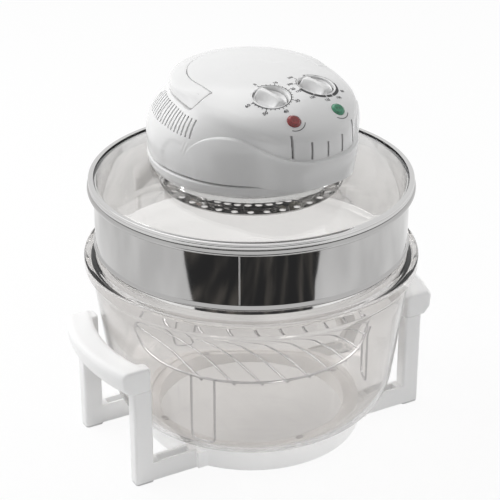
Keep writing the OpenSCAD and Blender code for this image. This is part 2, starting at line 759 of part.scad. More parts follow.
// Standoffs between the reflector and the guard, with their screw heads
module guard_posts() {
    color(steel) on_lid() for (a = post_angles) rotate([0, 0, a]) translate([post_ring, 0, 0]) {
        translate([0, 0, guard_z + 0.25]) cylinder(r = post_r, h = pan_z - sheet_t - guard_z - 0.3, $fn = 32);
        translate([0, 0, guard_z - 1]) cylinder(r = 1.5, h = 2, $fn = 24);
        translate([0, 0, guard_z - 2.2]) cylinder(r = 3, h = 1.35, $fn = 24);
    }
}

// Rotor

motor_z = low_z + shell_t + 17;
shaft_low = guard_z + 3;
fan_z = shaft_low + 4;
hub_r = shaft_r + 4;
disc_r = shaft_r + 15;
blade_h = 6;
cooler_r = motor_r + 8;
cooler_h = 7;
cooler_z = low_z + shell_t + 3;

module motor_shaft() {
    color(steel) on_lid() translate([0, 0, shaft_low])
        cylinder(r = shaft_r, h = motor_z + motor_h + 4 - shaft_low, $fn = 48);
}

module blades(r_in, r_out, h, count, lean) {
    for (i = [0:count - 1]) rotate([0, 0, 360 * i / count]) translate([r_in, 0, h / 2]) rotate([lean, 0, 0])
        translate([0, -0.5, -h / 2]) cube([r_out - r_in, 1, h]);
}

// Flat steel fan that drives the hot air
module convection_fan() {
    color(steel) on_lid() translate([0, 0, fan_z]) {
        tube(hub_r, shaft_r + 0.02, blade_h - 1);
        translate([0, 0, 1]) tube(disc_r, hub_r - 0.5, 1);
        translate([0, 0, 1]) blades(disc_r - 2, fan_r - 1, blade_h, 8, 18);
    }
}

// Plastic fan that cools the motor
module cooling_fan() {
    color(shade) on_lid() translate([0, 0, cooler_z]) {
        tube(hub_r + 1, shaft_r + 0.02, cooler_h + 1);
        blades(hub_r, cooler_r, cooler_h, 9, 30);
    }
}

module fan_nut() {
    color(steel) on_lid() translate([0, 0, shaft_low + 0.2])
        tube(shaft_r + 2, shaft_r + 0.02, fan_z - shaft_low - 0.25);
}

// Inside the head

module motor() {
    color(steel) on_lid() translate([0, 0, motor_z]) difference() {
        union() {
            cylinder(r = motor_r, h = motor_h);
            translate([-motor_r - 3, -12, 8]) cube([2 * motor_r + 6, 24, motor_h - 16]);
            translate([0, 0, motor_h]) cylinder(r = 8, h = 3);
        }
        translate([0, 0, -1]) cylinder(r = shaft_r + run, h = motor_h + 6, $fn = 48);
    }
}

plate_t = 1.5;
plate_r = motor_r + 16;
// Plate under the motor on four legs, which stand on the heat shield
module motor_bracket() {
    color(steel) on_lid() {
        translate([0, 0, motor_z - plate_t - 0.1]) tube(plate_r, shaft_r + 2, plate_t);
        for (a = [45:90:315]) rotate([0, 0, a])
            translate([plate_r - 4.5, -4, inner_z]) cube([4, 8, motor_z - plate_t - 0.1 - inner_z]);
    }
}

unit_h = 20;
unit_r = knob_r + 1;
// Clockwork timer or thermostat under a knob
module control_unit(x) {
    control_at(x, knob_y, knob_drop, knob_tilt) translate([0, 0, -well_h - cup_t - unit_h - 0.1]) {
        cylinder(r = unit_r, h = unit_h - 2);
        cylinder(r = unit_r - 6, h = unit_h);
    }
}

module timer_unit() {
    color(shade) on_lid() difference() {
        control_unit(-knob_x);
        control_bore(-knob_x);
    }
}

module thermostat_unit() {
    color(steel) on_lid() difference() {
        control_unit(knob_x);
        control_bore(knob_x);
    }
}

module control_bore(x) {
    control_at(x, knob_y, knob_drop, knob_tilt) translate([0, 0, -well_h - cup_t - 9])
        cylinder(r = shaft_r + run, h = 12, $fn = 32);
}

bulb_r = 2.5;
bulb_l = 48;
// Sensing tube of the thermostat, along the reflector
module thermostat_bulb() {
    color([0.72, 0.45, 0.3]) on_lid() translate([bulb_l / 2, fan_r + 4, pan_z - sheet_t - bulb_r - 0.1])
        rotate([0, -90, 0]) cylinder(r = bulb_r, h = bulb_l, $fn = 32);
}

poles = 4;
pole_gap = 10.5;
block_w = poles * pole_gap + 2;
block_d = 14;
block_h = 12;
block_y = plate_r + 8;
module terminal_block() {
    color(shade) on_lid() translate([-block_w / 2, block_y, inner_z]) difference() {
        cube([block_w, block_d, block_h]);
        for (i = [0:poles - 1]) translate([block_w / 2 + (i - (poles - 1) / 2) * pole_gap, block_d / 2, 5])
            cylinder(r = 2.5, h = block_h, $fn = 24);
    }
}

switch_x = handle_in + 7.5;
switch_y = 22;
switch_w = 10;
switch_l = 20;
switch_h = 16;
plunger_r = 2;
switch_z = ledge_top - shell_t - 24;

// Snap switch under the handle's right arm, on a post from the lower housing
module safety_switch() {
    color(rubber) on_lid() translate([switch_x, switch_y, 0]) difference() {
        union() {
            translate([-switch_w / 2, -switch_l / 2, switch_z]) cube([switch_w, switch_l, switch_h]);
            translate([-switch_w / 2 + 1, -switch_l / 2 + 4, inner_z])
                cube([switch_w - 2, switch_l - 8, switch_z - inner_z + 0.1]);
        }
        translate([0, 0, switch_z + 4]) cylinder(r = plunger_r + run, h = switch_h, $fn = 32);
    }
}

module switch_plunger() {
    color(white) on_lid() translate([switch_x, switch_y, switch_z + 4.3])
        cylinder(r = plunger_r, h = ledge_top - switch_z - 4.3, $fn = 32);
}

module lens(x) {
    control_at(x, lens_y, lens_drop, lens_tilt) difference() {
        union() {
            translate([0, 0, -7]) cylinder(r = lens_r, h = 8, $fn = 48);
            translate([0, 0, 1]) cylinder(r1 = lens_r, r2 = lens_r - 2.2, h = 1.8, $fn = 48);
        }
        translate([0, 0, -8]) cylinder(r = lens_r - 1.6, h = 6.5, $fn = 48);
    }
}

module power_lens() {
    color([0.55, 0.10, 0.10]) on_lid() lens(-lens_x);
}

module heat_lens() {
    color([0.18, 0.56, 0.37]) on_lid() lens(lens_x);
}

module lamp_holders() {
    color(shade) on_lid() for (sx = [-1, 1]) control_at(sx * lens_x, lens_y, lens_drop, lens_tilt) {
        translate([0, 0, -12]) cylinder(r = lens_r + 1, h = 4.9, $fn = 48);
        translate([0, 0, -7.2]) cylinder(r = lens_r - 2.2, h = 4, $fn = 48);
    }
}

module handle_pins() {
    color(steel) on_lid() for (sx = [-1, 1]) translate([sx * (notch_in - 7), -pivot_y, pivot_z])
        rotate([0, sx * 90, 0]) cylinder(r = pin_r, h = 17, $fn = 32);
}

gland_z = head_z + 18;
gland_or = gland_r + 4;
gland_back = 24;

// Strain relief for the mains lead, through the back wall
module cord_gland() {
    color(shade) on_lid() translate([0, head_r - 8, gland_z]) rotate([-90, 0, 0]) difference() {
        union() {
            cylinder(r = gland_or - 0.15, h = gland_back, $fn = 48);
            translate([0, 0, 8.2]) cylinder(r = gland_or + 3, h = 2.5, $fn = 48);
            cylinder(r = gland_or + 2, h = 3, $fn = 48);
        }
        translate([0, 0, -1]) cylinder(r = gland_r, h = gland_back + 2, $fn = 48);
    }
}

// Screws that clamp the reflector, the glass and the housing together
module housing_screws() {
    under = pan_z - sheet_t - 0.1;
    color(steel) on_lid() for (a = screw_angles) rotate([0, 0, a]) translate([clamp_r, 0, under]) {
        translate([0, 0, -head_t]) cylinder(r = screw_r + head_lap, h = head_t, $fn = 32);
        translate([0, 0, -0.1]) cylinder(r = screw_r, h = shield_z + shield_t + 1.5 - under, $fn = 24);
    }
}

// Knobs and handle

dish_r = knob_r - 1;
dish_up = 11.5;
ridge_up = 3.6;
ridge_w = 12;
// Dished disc with a ridge across it, turning in its well
module knob() {
    color(white) difference() {
        union() {
            translate([0, 0, -well_h + seat]) cylinder(r = knob_r, h = well_h - seat);
            intersection() {
                translate([0, 0, -1]) cylinder(r = knob_r, h = ridge_up + 1);
                translate([0, 0, ridge_up - 2 * knob_r]) rotate([0, 90, 0])
                    cylinder(r = 2 * knob_r, h = ridge_w, center = true);
            }
            translate([0, 0, -well_h - cup_t - 7]) cylinder(r = shaft_r, h = cup_t + 8, $fn = 32);
        }
        for (s = [-1, 1]) translate([s * (dish_r + 2.2), 0, dish_up]) rotate([90, 0, 0])
            cylinder(r = dish_r, h = 3 * knob_r, center = true);
    }
}

module timer_knob() {
    on_lid() control_at(-knob_x, knob_y, knob_drop, knob_tilt) rotate([0, 0, 40]) knob();
}

module temp_knob() {
    on_lid() control_at(knob_x, knob_y, knob_drop, knob_tilt) rotate([0, 0, 50]) knob();
}

// U-shaped handle, flush with the head's form, with pivots at the ends of its arms
module carry_handle() {
    color(white) on_lid() difference() {
        intersection() {
            head_form(-0.1, head_z + belt_low, 72, 15, false);
            union() {
                translate([0, 0, ledge_top + 0.3]) linear_extrude(3 * handle_h) handle_plan(handle_in);
                for (sx = [0, 1]) mirror([sx, 0, 0])
                    translate([handle_in, -pivot_y, pivot_z]) rotate([0, 90, 0])
                        cylinder(r = end_r, h = head_r - handle_in, $fn = 64);
            }
        }
        for (sx = [-1, 1]) translate([sx * (handle_in - 1), -pivot_y, pivot_z]) rotate([0, sx * 90, 0])
            cylinder(r = pin_r + run, h = 12, $fn = 32);
    }
}

base_ring();
leg(1, 1);  // leg_front_left
leg(0, 1);  // leg_front_right
leg(1, 0);  // leg_rear_left
leg(0, 0);  // leg_rear_right
grip(1);  // left_grip
grip(0);  // right_grip
foot_pads();
bowl_pads();
leg_screws();
glass_bowl();
rack_ring();
rack_grid();
rack_legs();
extender_ring();
glass_lid();
lid_band();
lid_seal();
lower_housing();
upper_housing();
reflector_pan();
insulation_disc();
heat_shield();
halogen_lamp();
lamp_sockets();
fan_guard();
guard_posts();
motor();
motor_bracket();
timer_unit();
thermostat_unit();
thermostat_bulb();
terminal_block();
safety_switch();
power_lens();
heat_lens();
lamp_holders();
handle_pins();
cord_gland();
housing_screws();
motor_shaft();
cooling_fan();
convection_fan();
fan_nut();
timer_knob();
temp_knob();
carry_handle();
switch_plunger();
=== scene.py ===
"""Looks of a countertop halogen oven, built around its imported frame.

Sizes are in millimetres until a mesh is made. Angles on the head are counted from its front.
"""

import json
import math

import bpy
from mathutils import Matrix, Vector

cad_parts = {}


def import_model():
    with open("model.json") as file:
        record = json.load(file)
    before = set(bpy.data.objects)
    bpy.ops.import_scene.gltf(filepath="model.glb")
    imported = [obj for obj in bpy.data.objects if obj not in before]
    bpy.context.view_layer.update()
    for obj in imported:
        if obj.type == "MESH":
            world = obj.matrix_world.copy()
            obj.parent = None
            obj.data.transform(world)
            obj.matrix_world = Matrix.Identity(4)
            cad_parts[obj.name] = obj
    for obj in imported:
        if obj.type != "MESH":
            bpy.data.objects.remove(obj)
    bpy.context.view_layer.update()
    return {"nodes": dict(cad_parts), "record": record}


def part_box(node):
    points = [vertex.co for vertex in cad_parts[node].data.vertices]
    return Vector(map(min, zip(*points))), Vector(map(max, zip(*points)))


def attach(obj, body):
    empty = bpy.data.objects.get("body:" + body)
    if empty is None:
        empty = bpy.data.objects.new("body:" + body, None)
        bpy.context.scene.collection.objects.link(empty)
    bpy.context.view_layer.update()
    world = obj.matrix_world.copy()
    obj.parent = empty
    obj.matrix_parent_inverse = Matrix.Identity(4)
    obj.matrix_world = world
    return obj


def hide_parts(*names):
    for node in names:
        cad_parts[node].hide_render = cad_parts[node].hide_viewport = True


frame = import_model()
MM = 0.001


def millimetres(corner):
    return [value / MM for value in corner]


# Places taken from the frame
bowl_low, bowl_high = map(millimetres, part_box("glass_bowl"))
ring_low, ring_high = map(millimetres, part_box("extender_ring"))
pane_low, pane_high = map(millimetres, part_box("glass_lid"))
dish_low = millimetres(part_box("lower_housing")[0])
head_low, head_high = map(millimetres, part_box("upper_housing"))
SEAT_GAP = 0.3  # between pieces that rest on each other
PANE = 3.2
TOP_CUT = 0.5  # what the head's flat top takes off its dome
BOWL_Z = bowl_low[2]
RIM_Z = bowl_high[2]
RIM_R = bowl_high[0]
EXT_Z = ring_low[2]
EXT_TOP = ring_high[2]
LID_Z = EXT_TOP + SEAT_GAP
PANE_Z = pane_low[2]
FLAT_Z = pane_high[2] - PANE
LOW_Z = dish_low[2]
HEAD_Z = head_low[2]
TOP_Z = head_high[2] + TOP_CUT
LID_TURN = 6
LID = Matrix.Rotation(math.radians(LID_TURN), 4, "Z")
ROUND_STEPS = 192


def deselect():
    """Leaves edit mode, with nothing selected."""
    if bpy.context.object and bpy.context.object.mode != "OBJECT":
        bpy.ops.object.mode_set(mode="OBJECT")
    bpy.ops.object.select_all(action="DESELECT")


def pick(piece):
    """Selects one piece alone."""
    deselect()
    piece.select_set(True)
    bpy.context.view_layer.objects.active = piece
    return piece


def edit(piece, *steps):
    """Runs edit-mode steps on a whole piece."""
    pick(piece)
    bpy.ops.object.mode_set(mode="EDIT")
    for step in steps:
        bpy.ops.mesh.select_all(action="SELECT")
        step()
    bpy.ops.object.mode_set(mode="OBJECT")
    return piece


def weld(gap=0.001):
    return lambda: bpy.ops.mesh.remove_doubles(threshold=gap * MM)


def outward():
    bpy.ops.mesh.normals_make_consistent(inside=False)


def modify(piece, kind, **settings):
    """Adds a modifier and applies it at once."""
    pick(piece)
    modifier = piece.modifiers.new(kind.lower(), kind)
    for name, value in settings.items():
        setattr(modifier, name, value)
    bpy.ops.object.modifier_apply(modifier=modifier.name)
    return piece


def smooth(piece, angle=35):
    """Shades a piece smooth, but for edges sharper than an angle in degrees."""
    pick(piece)
    bpy.ops.object.shade_smooth_by_angle(angle=math.radians(angle))
    return piece


def settle(piece, place=None):
    """Moves a piece to its place and leaves its object at the origin."""
    pick(piece)
    bpy.ops.object.transform_apply(location=True, rotation=True, scale=True)
    if place is not None:
        piece.data.transform(place)
        piece.data.update()
    return piece


def sheet_of(name, spots, faces):
    """A mesh from points in millimetres."""
    mesh = bpy.data.meshes.new(name)
    mesh.from_pydata([Vector(spot) * MM for spot in spots], [], faces)
    piece = bpy.data.objects.new(name, mesh)
    bpy.context.scene.collection.objects.link(piece)
    return piece


def ease(a, b, value):
    """0 at a and 1 at b, with a smooth step between them."""
    t = min(1, max(0, (value - a) / (b - a)))
    return t * t * (3 - 2 * t)


def steps_between(start, stop, steps):
    """Evenly spaced values, with both ends."""
    return [start + (stop - start) * i / steps for i in range(steps + 1)]


def arc(cx, cy, r, start, stop, steps):
    """Points along an arc, from one angle to another, in degrees."""
    angles = [math.radians(angle) for angle in steps_between(start, stop, steps)]
    return [(cx + r * math.cos(a), cy + r * math.sin(a)) for a in angles]


def held(outline, closed, gap=0.35):
    """An outline with points close to the ends of its long straights, which keep them straight when shaded."""
    result = []
    for i, point in enumerate(outline):
        result.append(point)
        if i + 1 == len(outline) and not closed:
            break
        start = Vector(point)
        way = Vector(outline[(i + 1) % len(outline)]) - start
        if way.length > 8 * gap:
            step = way.normalized() * gap
            result += [tuple(start + step), tuple(start + way - step)]
    return result


def lathe(name, outline, steps=ROUND_STEPS, closed=True):
    """Turns an outline of radius and height about the upright axis."""
    mesh = bpy.data.meshes.new(name)
    outline = held(outline, closed)
    count = len(outline)
    edges = [(i, (i + 1) % count) for i in range(count if closed else count - 1)]
    mesh.from_pydata([(r * MM, 0, z * MM) for r, z in outline], edges, [])
    piece = bpy.data.objects.new(name, mesh)
    bpy.context.scene.collection.objects.link(piece)

    def turn():
        bpy.ops.mesh.spin(steps=steps, angle=2 * math.pi, center=(0, 0, 0), axis=(0, 0, 1), use_auto_merge=True)

    return edit(piece, turn, weld(), outward)


def rounded_outline(outline, radius, steps=4, share=0.45):
    """Rounds every corner of a closed outline, within a share of the lines that meet there."""
    points = [Vector(p) for p in outline]
    result = []
    for i, corner in enumerate(points):
        before = points[i - 1] - corner
        after = points[(i + 1) % len(points)] - corner
        cut = min(radius, before.length * share, after.length * share)
        start = corner + before.normalized() * cut
        stop = corner + after.normalized() * cut
        for k in range(steps + 1):
            t = k / steps
            result.append(tuple((1 - t) ** 2 * start + 2 * t * (1 - t) * corner + t * t * stop))
    return result


def cylinder(r, low, high, place=Matrix.Identity(4), sides=64):
    """A cylinder along Z between two heights, in millimetres, put in its place."""
    deselect()
    bpy.ops.mesh.primitive_cylinder_add(
        vertices=sides, radius=r * MM, depth=(high - low) * MM, location=(0, 0, (high + low) / 2 * MM))
    return settle(bpy.context.object, shift(place))


def block(low, high, place=Matrix.Identity(4)):
    """A block between two corners, in millimetres, put in its place."""
    deselect()
    middle = [(a + b) / 2 * MM for a, b in zip(low, high)]
    sides = [(b - a) * MM for a, b in zip(low, high)]
    bpy.ops.mesh.primitive_cube_add(size=1, location=middle, scale=sides)
    return settle(bpy.context.object, shift(place))


def shift(place):
    """The same place with its distances in metres."""
    moved = place.copy()
    moved.translation = place.translation * MM
    return moved


def joined(name, pieces):
    """One object made of several."""
    deselect()
    for piece in pieces:
        piece.select_set(True)
    bpy.context.view_layer.objects.active = pieces[0]
    if len(pieces) > 1:
        bpy.ops.object.join()
    whole = bpy.context.view_layer.objects.active
    whole.name = name
    whole.data.name = name
    return whole


def combine(piece, operation, tool):
    """Cuts, joins or crosses a piece with a tool, which is used up."""
    pick(piece)
    modifier = piece.modifiers.new("combine", "BOOLEAN")
    modifier.operation = operation
    modifier.object = tool
    modifier.solver = "EXACT"
    bpy.ops.object.modifier_apply(modifier=modifier.name)
    bpy.data.objects.remove(tool)
    return piece


def copy_of(node):
    """A welded copy of a CAD solid."""
    mesh = frame["nodes"][node].data.copy()
    piece = bpy.data.objects.new(node + ".finished", mesh)
    bpy.context.scene.collection.objects.link(piece)
    pick(piece)
    if mesh.has_custom_normals:
        bpy.ops.mesh.customdata_custom_splitnormals_clear()
    return edit(piece, weld(0.002))


def body_of(node):
    bodies = frame["record"]["behaviour"]["bodies"]
    return next(name for name, nodes in bodies.items() if node in nodes)


def slot_of(node):
    return next(row["material_slot"] for row in frame["record"]["subparts"] if row["node"] == node)


def paint(piece, finish):
    piece.data.materials.clear()
    piece.data.materials.append(finish)
    return piece


def dress(piece, finish, *nodes):
    """Gives a piece its finish, lets it ride with its node's body, and hides the nodes it stands for."""
    paint(piece, finish)
    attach(piece, body_of(nodes[0]))
    slot_of(nodes[0])
    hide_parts(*nodes)
    return piece


# Finishes

class Value:
    """A shader number that adds its Math nodes when it is used in an expression."""

    def __init__(self, finish, socket):
        self.finish = finish
        self.socket = socket

    def math(self, operation, *others):
        inputs = {i: other for i, other in enumerate((self,) + others)}
        return self.finish.node("ShaderNodeMath", {"operation": operation}, inputs)

    def __add__(self, other):
        return self.math("ADD", other)

    def __sub__(self, other):
        return self.math("SUBTRACT", other)

    def __rsub__(self, other):
        return self.finish.number(other).math("SUBTRACT", self)

    def __mul__(self, other):
        return self.math("MULTIPLY", other)

    def __truediv__(self, other):
        return self.math("DIVIDE", other)

    __radd__ = __add__
    __rmul__ = __mul__

    def over(self, edge, soft):
        """0 below an edge and 1 above it, with a soft step."""
        return self.finish.node(
            "ShaderNodeMapRange", {"interpolation_type": "SMOOTHSTEP"},
            {"Value": self, "From Min": edge - soft, "From Max": edge + soft}, "Result")


class Finish:
    """The nodes of one material."""

    def __init__(self, name):
        self.material = bpy.data.materials.new(name)
        self.material.use_nodes = True
        self.tree = self.material.node_tree
        self.tree.nodes.clear()
        self.end = self.tree.nodes.new("ShaderNodeOutputMaterial")
        self.body = self.tree.nodes.new("ShaderNodeBsdfPrincipled")
        self.tree.links.new(self.body.outputs[0], self.end.inputs["Surface"])
        self.places = self.tree.nodes.new("ShaderNodeTexCoord").outputs["Object"]

    def node(self, kind, settings, inputs, output=0):
        """Adds a node with its settings, then the values or links of its sockets."""
        made = self.tree.nodes.new(kind)
        for name, value in settings.items():
            setattr(made, name, value)
        for key, value in inputs.items():
            self.feed(made.inputs[key], value)
        return Value(self, made.outputs[output])

    def feed(self, socket, value):
        """Links a value to a socket, or sets a constant on it."""
        if isinstance(value, Value):
            value = value.socket
        if isinstance(value, bpy.types.NodeSocket):
            self.tree.links.new(value, socket)
        else:
            socket.default_value = value

    def number(self, value):
        """A constant as a shader number."""
        return self.node("ShaderNodeMath", {"operation": "ADD"}, {0: value, 1: 0.0})

    def stretched(self, *scale):
        """The object's coordinates, scaled along each axis."""
        return self.node("ShaderNodeVectorMath", {"operation": "MULTIPLY"}, {0: self.places, 1: scale})

    def noise(self, size, detail=2.0, where=None):
        """Noise with features of a size in millimetres."""
        return self.node(
            "ShaderNodeTexNoise", {},
            {"Vector": where or self.places, "Scale": 1 / (size * MM), "Detail": detail}, "Fac")

    def from_axis(self):
        """Distance from the oven's own axis."""
        flat = self.stretched(1, 1, 0)
        return self.node("ShaderNodeVectorMath", {"operation": "LENGTH"}, {0: flat}, "Value")

    def mix(self, factor, first, second):
        """A blend of two colours, each a constant or a link."""
        ends = [colour + (1,) if isinstance(colour, tuple) else colour for colour in (first, second)]
        colour_a, colour_b, colour_out = 6, 7, 2  # the node's colour sockets
        inputs = {"Factor": factor, colour_a: ends[0], colour_b: ends[1]}
        return self.node("ShaderNodeMix", {"data_type": "RGBA"}, inputs, colour_out)

    def bump(self, height, depth):
        """Relief of a depth in millimetres."""
        inputs = {"Height": height, "Distance": depth * MM, "Strength": 1.0}
        relief = self.node("ShaderNodeBump", {}, inputs, "Normal")
        self.feed(self.body.inputs["Normal"], relief)

    def set(self, **values):
        """Sets the shader's sockets, with underscores for the spaces in their names."""
        for name, value in values.items():
            self.feed(self.body.inputs[name.replace("_", " ")], value)
        return self

    def lets_light_through(self, tint):
        """Glass casts a tinted shadow and not a black one."""
        paths = self.tree.nodes.new("ShaderNodeLightPath").outputs["Is Shadow Ray"]
        clear = self.node("ShaderNodeBsdfTransparent", {}, {"Color": tint + (1,)}, "BSDF")
        both = self.node("ShaderNodeMixShader", {}, {0: paths, 1: self.body.outputs[0], 2: clear})
        self.tree.links.new(both.socket, self.end.inputs["Surface"])


def moulded(name, dark, pale, rough=0.22, coat=0.35, glow=0.0):
    """Injection moulded plastic: faint clouding, a fine grain, a clear gloss, and a painted glow of its own
    pale colour that brightens it as more light would.
    """
    finish = Finish(name)
    cloud = finish.noise(size=35, detail=3.0)
    grain = finish.noise(size=0.9)
    # glow sets a painted glow: the plastic emits its pale colour although it is no lamp
    finish.set(
        Base_Color=finish.mix(cloud, dark, pale), Roughness=grain * 0.08 + cloud * 0.06 + (rough - 0.07),
        Coat_Weight=coat, Coat_Roughness=0.08, IOR=1.5, Emission_Color=pale + (1,), Emission_Strength=glow)
    finish.bump(grain + cloud * 0.5, depth=0.006)
    return finish.material


def sheet_metal(name, colour, rough, wave=0.02, streak=(1, 1, 12), inner=None):
    """Rolled sheet: streaks of polish along it, and a faint waviness in what it mirrors.

    A ring's inner side can be painted brighter, a painted reflection of the white it mirrors: inner holds its
    radius and how many times brighter it is.
    """
    finish = Finish(name)
    lines = finish.noise(size=1.4, detail=3.0, where=finish.stretched(*streak))
    swell = finish.noise(size=26, where=finish.stretched(1, 1, 0.25))
    worn = tuple(channel * 0.86 for channel in colour)
    sheet = finish.mix(lines, worn, colour)
    if inner:
        inner_r, brighter = inner
        # painted reflection: the inner side's colour is raised to stand for the bright surroundings it mirrors
        painted_bright_side = tuple(channel * brighter for channel in colour)
        sheet = finish.mix(finish.from_axis().over(inner_r * MM, 0.1 * MM), painted_bright_side, sheet)
    finish.set(Base_Color=sheet, Metallic=1.0, Roughness=lines * 0.05 + (rough - 0.02))
    finish.bump(swell + lines * 0.01, depth=wave)
    return finish.material


RING_STEP = 2.6


def tinted_glass(name, colour, rough=0.01, swell_depth=0.008, rings_under=None):
    """Pressed glass with a slight unevenness, and fine rings in it under a height in millimetres."""
    finish = Finish(name)
    swell = finish.noise(size=45)
    film = finish.noise(size=8, detail=3.0)
    if rings_under:
        height = finish.node("ShaderNodeSeparateXYZ", {}, {0: finish.places}, "Z")
        turned = (finish.from_axis() * (2 * math.pi / (RING_STEP * MM))).math("SINE")
        swell = swell + turned * 0.3 * (1 - height.over(rings_under * MM, 2 * MM))
    duller = tuple(channel * 0.985 for channel in colour)
    finish.set(Base_Color=finish.mix(film, duller, colour), Roughness=film * 0.012 + rough)
    finish.set(Transmission_Weight=1.0, IOR=1.22, Coat_Weight=0.55, Coat_Roughness=0.015, Coat_IOR=1.5)
    finish.bump(swell, swell_depth)
    finish.lets_light_through(tuple(channel ** 0.3 for channel in colour))
    return finish.material


def jewel(name, dark, bright):
    """A signal lamp's lens: coloured plastic with a pressed pattern of small prisms."""
    finish = Finish(name)
    prism = 3.2
    cells = finish.node(
        "ShaderNodeTexVoronoi", {"distance": "CHEBYCHEV"},
        {"Vector": finish.places, "Scale": 1 / (prism * MM), "Randomness": 0.35}, "Distance")
    finish.set(Base_Color=finish.mix(cells * 1.4, dark, bright), Roughness=0.12, Transmission_Weight=0.25)
    finish.set(Coat_Weight=0.6, Coat_Roughness=0.05, IOR=1.49)
    finish.bump(cells, depth=0.35)
    return finish.material


def grained(name, dark, pale, size, rough, depth):
    """A dull finish with a grain: rubber, ceramic, fibre board or a cast part."""
    finish = Finish(name)
    grain = finish.noise(size, detail=4.0)
    cloud = finish.noise(size * 12)
    finish.set(Base_Color=finish.mix(cloud * 0.5 + grain * 0.5, dark, pale), Roughness=grain * 0.15 + rough)
    finish.bump(grain, depth)
    return finish.material


EXT_R = 152.5
RINGED_FOOT = 8

WHITE = moulded("white_plastic", (0.80, 0.80, 0.80), (0.84, 0.84, 0.838))
STAND_SHADES = ((0.91, 0.91, 0.91), (0.94, 0.94, 0.938))
# Painted glow: the stand plastic glows faintly, and the ring's copy glows more to lift it where it lies in
# shade under the bowl
STAND_WHITE = moulded("stand_plastic", *STAND_SHADES, rough=0.3, coat=0.2, glow=0.04)
RING_WHITE_PAINTED_GLOW = moulded("ring_plastic", *STAND_SHADES, rough=0.3, coat=0.2, glow=0.14)
INNER = moulded("inner_plastic", (0.66, 0.66, 0.65), (0.72, 0.72, 0.71), rough=0.45, coat=0.0)
SMOKED = tinted_glass("smoked_glass", (0.80, 0.785, 0.773), rings_under=BOWL_Z + RINGED_FOOT)
CLEAR = tinted_glass("clear_glass", (0.97, 0.97, 0.965))
# The extender's inner side is painted 1.45 times brighter, as a painted reflection
POLISHED = sheet_metal("polished_steel", (0.56, 0.555, 0.55), rough=0.06, wave=0.16, inner=(EXT_R - 0.6, 1.45))
BRIGHT = sheet_metal("bright_steel", (0.78, 0.775, 0.77), rough=0.06, wave=0.004)
WIRE = sheet_metal("chromed_wire", (0.70, 0.70, 0.71), rough=0.12, wave=0.0)
WELD = sheet_metal("weld_bead", (0.82, 0.81, 0.80), rough=0.45, wave=0.004)
PLAIN = sheet_metal("plain_steel", (0.55, 0.55, 0.56), rough=0.32, wave=0.004)
ALUMINIUM = sheet_metal("fan_aluminium", (0.72, 0.72, 0.73), rough=0.28, wave=0.004)
COPPER = sheet_metal("copper_tube", (0.72, 0.40, 0.25), rough=0.25, wave=0.0)
RUBBER = grained("rubber", (0.022, 0.022, 0.023), (0.04, 0.04, 0.041), size=0.5, rough=0.6, depth=0.01)
PALE_RUBBER = grained("pale_rubber", (0.60, 0.60, 0.60), (0.70, 0.70, 0.70), size=0.5, rough=0.6, depth=0.01)
BOARD = grained("fibre_board", (0.52, 0.49, 0.42), (0.66, 0.63, 0.56), size=1.2, rough=0.8, depth=0.05)
CERAMIC = grained("ceramic", (0.66, 0.63, 0.55), (0.74, 0.71, 0.64), size=0.8, rough=0.6, depth=0.02)
DARK = grained("dark_plastic", (0.02, 0.02, 0.022), (0.035, 0.035, 0.037), size=0.6, rough=0.4, depth=0.01)
INK = grained("printed_ink", (0.035, 0.035, 0.037), (0.06, 0.06, 0.062), size=0.5, rough=0.5, depth=0.002)
TUBE = tinted_glass("quartz_tube", (0.93, 0.92, 0.90), rough=0.15)
RED = jewel("red_lens", (0.16, 0.006, 0.006), (0.42, 0.02, 0.018))
GREEN = jewel("green_lens", (0.015, 0.16, 0.075), (0.05, 0.42, 0.22))


# Bowl

NECK_R = 157.5
NECK_DOWN = 16
DRAFT = math.radians(7.4)
FOOT_ROUND = 47
GLASS = 4.5
POCKET_R = 152.1
POCKET_H = 6
LEDGE_R = 149.4
LIP_ROUND = 2.2
SOFT = 0.8  # roundness of the pocket's edges
FLARE_DOWN = 9
FLARE_UP = 4.2
BLEND_DOWN = 30
UNDERLIP = {"r": 2, "up": 6.5}
GROOVE = {"in": 6.6, "up": 2.6, "r": 3.4}  # pressed round the rim's top
RIPPLES = {"r": 94, "step": 2, "deep": 0.35}
neck_z = RIM_Z - NECK_DOWN
foot_z = BOWL_Z + FOOT_ROUND
foot_r = NECK_R + ((foot_z - neck_z) * math.sin(DRAFT) - FOOT_ROUND) / math.cos(DRAFT)


def wall_at(z, inset=0):
    """Radius of the wall's outer face at a height, or of its inner face."""
    return NECK_R - (neck_z - z) * math.tan(DRAFT) - inset / math.cos(DRAFT)


